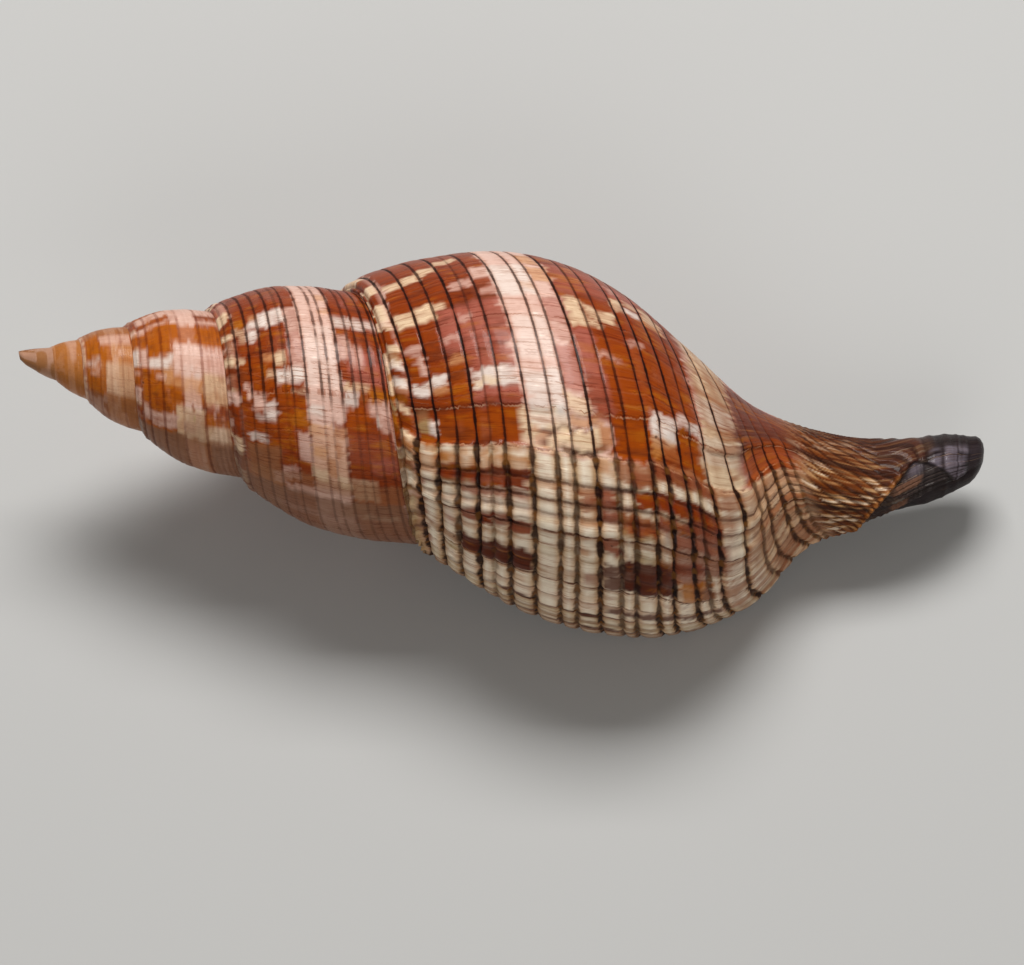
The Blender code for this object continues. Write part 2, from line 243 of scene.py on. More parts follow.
def line_at(turn, column):
    """The guide line of a column, where column n follows groove n - 1."""
    lines = posts(turn)
    i = np.clip(np.floor(column).astype(int), 0, lines.shape[-1] - 2)
    n = np.arange(len(turn))
    return lines[n, i] + (column - i) * (lines[n, i + 1] - lines[n, i])


def groove_strength(strengths, post):
    """The strength of the groove at each post; the suture and the canal have none."""
    return np.concatenate([[0.0], strengths, np.zeros(len(CANAL_LINES) + 1)])[post]


def smooth_noise(x, y, seed):
    """Value noise from -1 to 1 with a period of one in x and in y."""
    x, y = np.broadcast_arrays(np.asarray(x, float), np.asarray(y, float))
    i, j = np.floor(x), np.floor(y)
    u, v = ramp(x - i, 0.0, 1.0), ramp(y - j, 0.0, 1.0)

    def corner(p, q):
        wave = np.sin(p * 127.1 + q * 311.7 + seed * 74.7) * 43758.5453
        return 2.0 * (wave - np.floor(wave)) - 1.0

    low = corner(i, j) * (1 - u) + corner(i + 1, j) * u
    high = corner(i, j + 1) * (1 - u) + corner(i + 1, j + 1) * u
    return low * (1 - v) + high * v


# ==== growth lines and healed breaks =========================================
# Each pause in growth leaves a line across the grooves. Twice the lip was broken
# and mended: an edge with a drop behind it, and an edge with a step up.
LAG_LINE = (0.0, 1.0, 1.25, 1.6, 2.0, 2.5, 3.0, 3.5, 5.2, 6.0, 6.5, 7.0, 7.5, 7.9)
LAG_LINE += (8.2, 8.45, 8.75, 9.05, 9.3, 9.5, 9.75, 10.0, 10.3, 10.6, 13.0)
LAG_TURN = (-0.3, -0.2, -0.1)
LAG = np.array(  # how far growth lines lag behind along the guide lines, at three turns, in thousandths
    [
        [10, 12, 14, 13, 10, 4, 0, -1, -1, -3, -5, -1, 5, 11]
        + [12, 6, -10, -28, -23, -4, 24, 60, 100, 125, 150],
        [12, 4, 16, 14, 9, 5, 2, 0, -1, 0, 3, 9, 20, 33]
        + [38, 40, 20, -1, 1, 21, 49, 85, 125, 150, 175],
        [16, 0, -12, -3, 7, 4, 0, -1, 1, 9, 16, 26, 40, 52]
        + [60, 64, 46, 20, 20, 40, 68, 104, 144, 170, 190],
    ]
)
BREAK_A = -0.3015
BREAK_B = -0.266
OLD_BREAK = -1.288
RIDGES = np.array(  # growth ridges after the second break: turn, and height in mm
    [[BREAK_B, 0.0], [-0.240, 0.24], [-0.2245, 0.26], [-0.2125, 0.14], [-0.1965, 0.42], [-0.183, 0.1]]
    + [[-0.172, 0.08], [-0.159, 0.12], [-0.1435, 0.34], [-0.136, 0.06], [-0.121, 0.22], [-0.0995, 0.28]]
    + [[-0.082, 0.1], [-0.067, 0.24], [-0.05, 0.12], [-0.031, 0.14], [-0.014, 0.1]]
)


def lag(turn, line):
    """How far the growth line through a point runs behind the one at its middle."""
    t = np.clip((turn - LAG_TURN[0]) / (LAG_TURN[1] - LAG_TURN[0]), 0.0, 2.0)
    early, middle, late = (np.interp(line, LAG_LINE, row) for row in LAG / 1000)
    return early + (middle - early) * np.minimum(t, 1.0) + (late - middle) * np.maximum(t - 1.0, 0.0)


def grown(turn, line):
    """Growth turn of the growth line through a point."""
    return turn - lag(turn, line)


def ridge_phase(grow):
    """Which growth ridge a growth turn falls on, and how far it is across it."""
    i = np.clip(np.searchsorted(RIDGES[:, 0], grow) - 1, 0, len(RIDGES) - 2)
    return i, np.clip((grow - RIDGES[i, 0]) / (RIDGES[i + 1, 0] - RIDGES[i, 0]), 0.0, 1.0)


def ridge_wave(grow):
    """Rounded shingles: each growth ridge swells towards its edge and drops behind it."""
    i, t = ridge_phase(grow)
    return RIDGES[i + 1, 1] * ramp(t, 0.0, 0.6) * (1.0 - ramp(t, 0.84, 1.0)) * (grow > BREAK_B)


def bump(x, y, x0, y0, rx, ry):
    """A round lump at (x0, y0), 1 at its top."""
    return np.exp(-(((x - x0) / rx) ** 2) - ((y - y0) / ry) ** 2)


def box(x, low, high, soft):
    """1 from low to high, with soft ends."""
    return ramp(x, low - soft, low + soft) * (1.0 - ramp(x, high - soft, high + soft))


def relief(turn, column):
    """Height of all the sculpture over the plain wall, mm."""
    line = line_at(turn, column)
    size = np.minimum(WHORL_RATIO ** np.minimum(turn + 0.5, 0.0), 1.0)
    grow = grown(turn, line)
    cell = np.floor(column)
    jag = 0.0035 * smooth_noise(cell * 7.3, cell * 1.7, 3) + 0.0015 * smooth_noise(column * 3.0, grow * 40, 4)
    da, dr = slant(turn, line)
    lines = posts(turn)
    i = np.clip(cell.astype(int), 0, lines.shape[-1] - 2)
    n = np.arange(len(turn))
    gap = (lines[n, i + 1] - lines[n, i]) * np.hypot(da, dr)
    away = np.minimum(column - i, i + 1 - column) * gap
    late = ramp(grow, BREAK_B - 0.004, BREAK_B + 0.004)
    whorls = (turn > -1.0) | (line < SHOULDER - 0.03)
    # grooves, rounded cords between them
    body = ramp(line, 0.2, 0.5) * (1.0 - ramp(line, 9.2, 9.5)) * whorls
    near = np.where(column - i < 0.5, i, i + 1)
    strong = groove_strength(GROOVE_INK, near)
    thin = 1.0 - 0.5 * ramp(line, 5.4, 7.4) * (turn > -1.0)  # the cords flatten towards the canal
    depth = (0.12 + 0.33 * late * thin) * size * strong
    h = -depth * np.exp(-((away / (0.2 + 0.17 * late)) ** 2)) * body
    swell = (1.0 - np.abs(2 * (column - i) - 1.0) ** 2.5) * (0.3 + 0.7 * strong) - 0.4 * late
    h += (0.03 + 0.27 * late * thin) * size * body * swell
    # two beaded cords below the suture
    beads = np.cos(2 * np.pi * (grow / 0.0285 + 0.6 * smooth_noise(grow * 21, cell * 3.3, 5)))
    rough = 0.35 + 0.65 * ramp(grow, -0.45, -0.25)
    cords = 0.42 * bump(column, 0, 0.55, 0, 0.42, 1) + 0.5 * bump(column, 0, 1.5, 0, 0.42, 1)
    h += size * cords * (1.0 + 0.42 * rough * beads)
    h -= size * 0.15 * bump(column, 0, 2.0, 0, 0.12, 1)
    # growth ridges after the second break, fine ones before it
    whole = ramp(line, 0.9, 1.2) * (1.0 - 0.6 * ramp(line, 8.3, 9.5)) * (turn > -1.0)
    h += whole * ridge_wave(grow + 0.5 * jag)
    fine = smooth_noise(grow * 260, column * 0.8, 6) + 0.6 * smooth_noise(grow * 620, column * 0.5, 7)
    h += 0.02 * size * fine * (0.6 + 0.8 * late) * ramp(line, 0.9, 1.2)
    # the two healed breaks
    a = grow + 0.6 * jag
    h += whole * 0.36 * ramp(a, -0.34, BREAK_A - 0.004) * (1.0 - ramp(a, BREAK_A, BREAK_A + 0.003))
    lip = 1.0 - 0.55 * ramp(a, BREAK_B + 0.004, -0.17)
    h += whole * 0.5 * ramp(a, BREAK_B - 0.0035, BREAK_B + 0.003) * lip * (1.0 - ramp(a, -0.17, -0.12))
    # slabs and lumps of new shell at the breaks
    block = box(line, 3.88, 5.25, 0.08) * ramp(turn, -0.231 - 0.0115 * line, -0.228 - 0.0115 * line)
    h += 0.55 * block * (1.0 - ramp(turn, -0.27, -0.266)) * ramp(line, 3.5, 4.9)
    h += 0.5 * bump(line, turn, 6.62, -0.299, 0.15, 0.010)
    h += 0.45 * bump(line, turn, 6.98, -0.297, 0.17, 0.009)
    h += 0.35 * bump(line, turn, 7.42, -0.309, 0.16, 0.006)
    h += 0.45 * bump(line, turn, 4.42, -0.301, 0.12, 0.0042)
    h += 0.25 * bump(line, turn, 4.95, -0.299, 0.12, 0.003)
    h += 0.3 * bump(line, turn, 1.62, -0.270, 0.07, 0.008)
    h += 0.35 * bump(line, turn, 5.2, -0.205, 0.1, 0.007)
    h += 0.6 * bump(line, turn, 7.28, -0.126, 0.2, 0.0105)
    h += 0.3 * bump(line, turn, 8.5, -0.195, 0.12, 0.007)
    h += 0.5 * bump(line, turn, 0.85, -0.038, 0.5, 0.012)
    # an older break on the whorl before
    old = ramp(line, 2.3, 2.6)
    ledge = ramp(a, OLD_BREAK - 0.02, OLD_BREAK - 0.003) * (1.0 - ramp(a, OLD_BREAK, OLD_BREAK + 0.006))
    h += 0.16 * old * ledge * (turn < -1)
    for at_line, at_turn, wide, tall in (
        (1.45, -1.279, 0.16, 0.22),
        (1.85, -1.262, 0.22, 0.26),
        (2.25, -1.252, 0.16, 0.22),
        (1.75, -1.203, 0.35, 0.12),
        (2.3, -1.236, 0.2, 0.12),
    ):
        h += tall * bump(line, grow, at_line, at_turn, wide, 0.008)
    # canal cords, slanting across the growth lines, and the lip's end beside the slit
    canal = ramp(line, 9.15, 9.6) * (1.0 - 0.5 * ramp(line, 11.3, 12.2))
    cord = canal_cord(turn, line)
    h += canal * (0.10 * np.cos(2 * np.pi * cord) + 0.03 * np.cos(4 * np.pi * cord))
    lip_end, slot = lip_end_and_slot(turn, line)
    h += 0.35 * lip_end - 0.5 * slot
    h += 0.06 * size * smooth_noise(turn * 14, line * 1.5, 8)
    h += 0.35 * ramp(turn, -0.03, -0.008) * ramp(line, 0.3, 1.2) * (1.0 - ramp(line, 9.5, 10.5))
    return h * ramp(column, 0.0, 0.35) * (1.0 - ramp(line, 12.5, 13.0))


def canal_cord(turn, line):
    """Counts the canal's cords, which slant at first and lie square to it at the tip."""
    count = np.interp(line, (9.0, 10.4, 11.3, 13.0), (0.0, 11.2, 14.6, 19.0))
    return count - 24.0 * (1.0 - ramp(line, 10.3, 11.3)) * (turn + 0.2)


def lip_end_and_slot(turn, line):
    """The raised end of the outer lip on the canal, and the dark slot beyond it."""
    left = np.interp(turn, (-0.155, -0.12, -0.095, -0.08, -0.03, 0.0), (10.95, 10.75, 10.6, 10.45, 10.1, 9.9))
    stops = (-0.155, -0.12, -0.095, -0.04, -0.01, 0.0)
    right = np.interp(turn, stops, (10.95, 11.3, 11.5, 11.9, 12.1, 12.15))
    below = ramp(turn, -0.157, -0.150)
    rim = np.exp(-(((line - left + 0.1) / 0.08) ** 2)) * below
    return rim, ramp(line - left, -0.02, 0.05) * (1.0 - ramp(line - right, -0.08, 0.02)) * below


def outside(turn, column):
    """The sculptured outer surface."""
    a, r = raised(turn, line_at(turn, column), relief(turn, column))
    return placed(turn, a, r)


# ==== inside of the mouth and the columella ==================================
# The mouth's wall is smooth and glazed. It wraps the pillar that the shell coils
# about, which has low folds, and runs out into the canal's open slit.
WALL = 1.7
LIP_EDGE = 0.7  # the wall's thickness at the lip
CANAL_WALL = 0.9
CAVITY_TURNS = 0.8
TIP_DOME = 2.4  # the closed tip's height beyond the last guide line
PILLAR = (20.1, 12.4, 5.0, 3.2, 2.8, 2.3, 1.8)  # columella radius, lines 7 to 13


def core(turn, line):
    """(axial, radial) of the wall under a later turn: the parietal wall and the columella."""
    a, r = profile(np.full(turn.shape, -1.0), line)
    back = -1.0 - turn
    scale = WHORL_RATIO**-back
    bottom = AXIAL[9][0]
    reach = (AXIAL[-1][0] - bottom * scale) / (AXIAL[-1][0] - bottom)
    a = np.where(line <= 9.0, a * scale, bottom * scale + (a - bottom) * reach)
    held = ramp(line, 9.0, 11.0)
    suture = np.interp(turn + 1.0, SPIRE_TURN, SPIRE_RADIUS) / RADIAL[0][-1]
    deep = np.interp(line, np.arange(7, 14), PILLAR) * (suture + (1.0 - suture) * held)
    folds = 0.35 * ramp(line, 8.6, 9.1) * (1.0 - ramp(line, 9.9, 10.3)) * (1.0 - ramp(back, 0.5, 0.8))
    folds *= np.sin(2 * np.pi * (line * 2.2 - back * 3.0))
    return a, r + (deep + folds - r) * ramp(back, 0.0, 0.07)


def seam(turn):
    """Where the cavity's roof meets its floor, at the closed end of the canal's slit."""
    inward = ramp(-turn, 0.0, 0.15)
    return placed(turn, AXIAL[-1][0] - 2.0 * inward, RADIAL[-1][0] - 1.6 * inward)


def floor_surface(turn, line):
    points = placed(turn, *core(turn - 1.0, line))
    end, mouth = line == CANAL_END, turn == 0.0
    points[end] = seam(turn[end])
    points[mouth] = outside(turn[mouth] - 1.0, column_of(turn[mouth] - 1.0, line[mouth]))
    return points


def roof_surface(turn, line):
    thick = LIP_EDGE + (WALL + (CANAL_WALL - WALL) * ramp(line, 8.0, 9.5) - LIP_EDGE) * ramp(-turn, 0.0, 0.08)
    points = placed(turn, *raised(turn, np.maximum(line, 0.9), -thick))
    root = floor_surface(turn, np.full(turn.shape, floor_lines[0]))
    near = np.clip(line / 0.9, 0.0, 1.0)[:, None]
    points = root + (points - root) * near
    points[line == CANAL_END] = seam(turn[line == CANAL_END])
    return points


def column_of(turn, line):
    """The column that runs through a guide line at each turn: line_at, the other way."""
    lines = posts(turn)
    i = np.clip((lines <= line[:, None] + 1e-9).sum(axis=1) - 1, 0, lines.shape[1] - 2)
    n = np.arange(len(turn))
    return i + (line - lines[n, i]) / (lines[n, i + 1] - lines[n, i])


# ==== the mesh of the whole wall =============================================
# Rows follow the growth turns and columns follow the grooves. Rows are half as
# many on each earlier whorl, and a fine edge is drawn onto the coarse one it meets.
fine_turns = np.concatenate(
    [
        np.linspace(-1.0, -0.56, 48, endpoint=False),
        np.linspace(-0.56, -0.27, 96, endpoint=False),
        np.linspace(-0.27, 0.0, 141),
    ]
)
per_cord = (0.0, 0.09, 0.22, 0.5, 0.78, 0.91)
fine_columns = np.concatenate(
    [[0.0, 0.25, 0.5, 0.75]]
    + [i + np.array(per_cord) for i in range(1, POSTS - 1)]
    + [np.arange(POSTS - 1, POSTS + 5, 1 / 16), POSTS + 5 + np.arange(9) / 5, [LAST_COLUMN]]
)
fine_columns = np.unique(np.round(fine_columns, 6))
kept_share = np.isin(np.round(fine_columns % 1.0, 3), (0.0, 0.22, 0.5, 0.78))
spire_columns = fine_columns[(fine_columns <= SHOULDER_COLUMN) & kept_share]
floor_lines = np.array([7.25, 7.6, 8.0, 8.5, 9.0, 9.5, 10.0, 10.5, 11.0, 11.5, 12.0, 12.5, CANAL_END])
floor_lines = np.unique(np.concatenate([floor_lines, (floor_lines[1:] + floor_lines[:-1]) / 2]))
wall_lines = np.array([0.0, 0.25, 0.55, 0.9, 1.4, 2.0, 2.5, 3.0, 3.5, 4.0, 4.5, 5.0, 5.5, 6.0, 6.5, 7.0])
lip_lines = np.concatenate([wall_lines, floor_lines])
kept_columns = np.concatenate([spire_columns, column_of(np.full(len(floor_lines), -1.0), floor_lines)])
kept_lip = column_of(np.zeros(len(lip_lines)), lip_lines)


def onto(values, kept):
    """Each value moved back to the kept value at or before it."""
    kept = np.sort(kept)
    at = kept[np.clip(np.searchsorted(kept, values + 1e-7, side="right") - 1, 0, None)]
    return np.where(values < kept[0], values, at)


def whorl_surface(kept_turns):
    """The outside, with its suture edge drawn onto the rows of the whorl before."""

    def surface(turn, column):
        first = column == 0.0
        turn = np.where(first, onto(turn, kept_turns), turn)
        start = (turn == -1.0) & (column > 0.0)
        column = np.where(start, onto(column, kept_columns), column)
        points = outside(turn, column)
        at_suture = (column == SHOULDER_COLUMN) & (turn <= -1.0)
        points[at_suture] = outside(turn[at_suture] + 1.0, np.zeros(at_suture.sum()))
        return points

    return surface


def tip_surface(turn, rise):
    radius = profile(turn, np.full(turn.shape, CANAL_END))[1]
    return placed(turn, AXIAL[-1][0] + TIP_DOME * np.sin(rise), radius * np.cos(rise))


def lip_surface(across, column):
    """The lip's rounded edge, from the sculptured outside to the glazed inside."""
    mouth = np.zeros(column.shape)
    outer = outside(mouth, column)
    kept = line_at(mouth, onto(column, kept_lip))
    inner = roof_surface(mouth, lip_lines[np.abs(lip_lines[None, :] - kept[:, None]).argmin(axis=1)])
    across = np.where(column == 0.0, np.floor(across), across)
    return outer + (inner - outer) * across[:, None]


def patch(bm, turns, columns, surface, finish=0, columns_kept=None):
    """One grid of the wall, laid on a surface. Each corner keeps its turn and column."""
    made = bmesh.ops.create_grid(bm, x_segments=len(turns) - 1, y_segments=len(columns) - 1, size=1.0)
    verts = made["verts"]
    flat = np.array([v.co for v in verts])
    i = np.rint((flat[:, 0] + 1) / 2 * (len(turns) - 1)).astype(int)
    j = np.rint((flat[:, 1] + 1) / 2 * (len(columns) - 1)).astype(int)
    turn, column = np.asarray(turns)[i], np.asarray(columns)[j]
    points = surface(turn, column) * MM
    turn = np.minimum(turn, 0.0)
    if columns_kept:
        column = columns_kept(turn, column)
    stored = {}
    for v, p, t, c in zip(verts, points.tolist(), turn.tolist(), column.tolist()):
        v.co = p
        stored[v] = (t, c)
    growth = bm.loops.layers.uv["growth"]
    for face in {f for v in verts for f in v.link_faces}:
        face.material_index = finish
        face.smooth = True
        for loop in face.loops:
            loop[growth].uv = stored[loop.vert]


bm = bmesh.new()
bm.loops.layers.uv.new("growth")
second, third, fourth = fine_turns[::2], fine_turns[::4], np.append(fine_turns[::8], 0.0)
oldest = np.concatenate([fourth[fourth > -0.6] - 5.0, fourth[1:] - 4.0])
patch(bm, oldest, spire_columns, whorl_surface(oldest + 1.0))
patch(bm, fourth - 3.0, spire_columns, whorl_surface(fourth - 3.0))
patch(bm, third - 2.0, spire_columns, whorl_surface(fourth - 2.0))
patch(bm, second - 1.0, spire_columns, whorl_surface(third - 1.0))
patch(bm, fine_turns, fine_columns, whorl_surface(second))
tip_rises = np.radians(np.linspace(0.0, 90.0, 6))
patch(bm, fine_turns, tip_rises, tip_surface, columns_kept=lambda turn, rise: rise * 0 + LAST_COLUMN)
inner_turns = third[third >= -CAVITY_TURNS]
patch(bm, inner_turns, floor_lines, floor_surface, finish=1, columns_kept=column_of)
patch(bm, inner_turns, lip_lines, roof_surface, finish=1, columns_kept=column_of)
patch(bm, np.array([0.0, 0.35, 0.7, 1.0]), fine_columns, lip_surface, finish=1)
bmesh.ops.remove_doubles(bm, verts=bm.verts, dist=0.00001)

# the last turn's blind end and the apex are the two loops still open
APEX_RINGS = ((1.9, 0.68), (1.0, 0.60))  # how far each ring goes forward, mm, and its share of the one before
APEX_POINT = 0.4
caps = bmesh.ops.holes_fill(bm, edges=[e for e in bm.edges if e.is_boundary], sides=0)["faces"]
for face in caps:
    if face.calc_center_median().x < 4 * MM:
        for forward, narrow in APEX_RINGS:
            next_ring = bmesh.ops.extrude_face_region(bm, geom=[face])["geom"]
            bmesh.ops.delete(bm, geom=[face], context="FACES_ONLY")
            face = next(part for part in next_ring if isinstance(part, bmesh.types.BMFace))
            bmesh.ops.translate(bm, vec=(-forward * MM, 0.0, -0.06 * forward * MM), verts=face.verts)
            middle = face.calc_center_median()
            for v in face.verts:
                v.co = middle + (v.co - middle) * narrow
        apex = bmesh.ops.poke(bm, faces=[face])["verts"][0]
        apex.co.x -= APEX_POINT * MM
bmesh.ops.triangulate(bm, faces=bm.faces, quad_method="BEAUTY", ngon_method="BEAUTY")
# a fold in the canal's closed end can leave two faces back to back
folded = [f for f in bm.faces if sum(len(e.link_faces) > 2 for e in f.edges) > 1]
bmesh.ops.delete(bm, geom=folded, context="FACES")
bmesh.ops.recalc_face_normals(bm, faces=bm.faces)

# lay the shell down on its mouth, as the solid lies
REST_ROLL = -69.6
REST_PITCH = 9.1
rest = Matrix.Rotation(np.radians(REST_PITCH), 4, "Y") @ Matrix.Rotation(np.radians(REST_ROLL), 4, "X")
bmesh.ops.transform(bm, matrix=rest, verts=bm.verts)

SHELL_SHIFT = Vector((-74.81, 1.77, 32.51)) * MM  # brings the frame's origin under the shell
bmesh.ops.translate(bm, vec=SHELL_SHIFT, verts=bm.verts)
low, high = cad_box
for v in bm.verts:
    for axis in range(3):
        v.co[axis] = min(max(v.co[axis], low[axis]), high[axis])
mesh = bpy.data.meshes.new("shell")
bm.to_mesh(mesh)
bm.free()
shell = bpy.data.objects.new("shell", mesh)
bpy.context.scene.collection.objects.link(shell)

# ==== pigment ================================================================
# Pigment is laid down in the shell as it grows, so blotches end at growth lines
# and grooves: rust and orange bands either side of a pale one, cream blocks on top.
WHITE = (0.80, 0.68, 0.60)
CREAM = (0.80, 0.59, 0.38)
BLUSH = (0.74, 0.48, 0.39)
BUFF = (0.48, 0.35, 0.16)
PEACH = (0.62, 0.30, 0.13)
TAN = (0.34, 0.145, 0.06)
TAWNY = (0.42, 0.095, 0.003)
# used mostly as painted shade on the lower sides of the whorls
DUSK = (0.22, 0.10, 0.055)
AMBER = (0.45, 0.14, 0.006)
ORANGE = (0.33, 0.056, 0.001)
RUST = (0.26, 0.037, 0.002)
MAUVE = (0.41, 0.115, 0.08)
SLATE = (0.150, 0.125, 0.150)
PLUM = (0.010, 0.006, 0.009)
IVORY = (0.90, 0.77, 0.60)
UMBER = (0.105, 0.020, 0.007)
TERRA = (0.36, 0.13, 0.05)
OCHRE = (0.50, 0.27, 0.11)
HONEY = (0.36, 0.13, 0.025)
HORN = (0.19, 0.045, 0.006)
BARK = (0.05, 0.012, 0.005)
SOOT = (0.05, 0.010, 0.003)
SMOKE = (0.055, 0.018, 0.012)
SLIT_SHADE = (0.024, 0.018, 0.018)
FIRST_WHORLS = (0.44, 0.16, 0.035)
APEX_BROWN = (0.30, 0.13, 0.05)
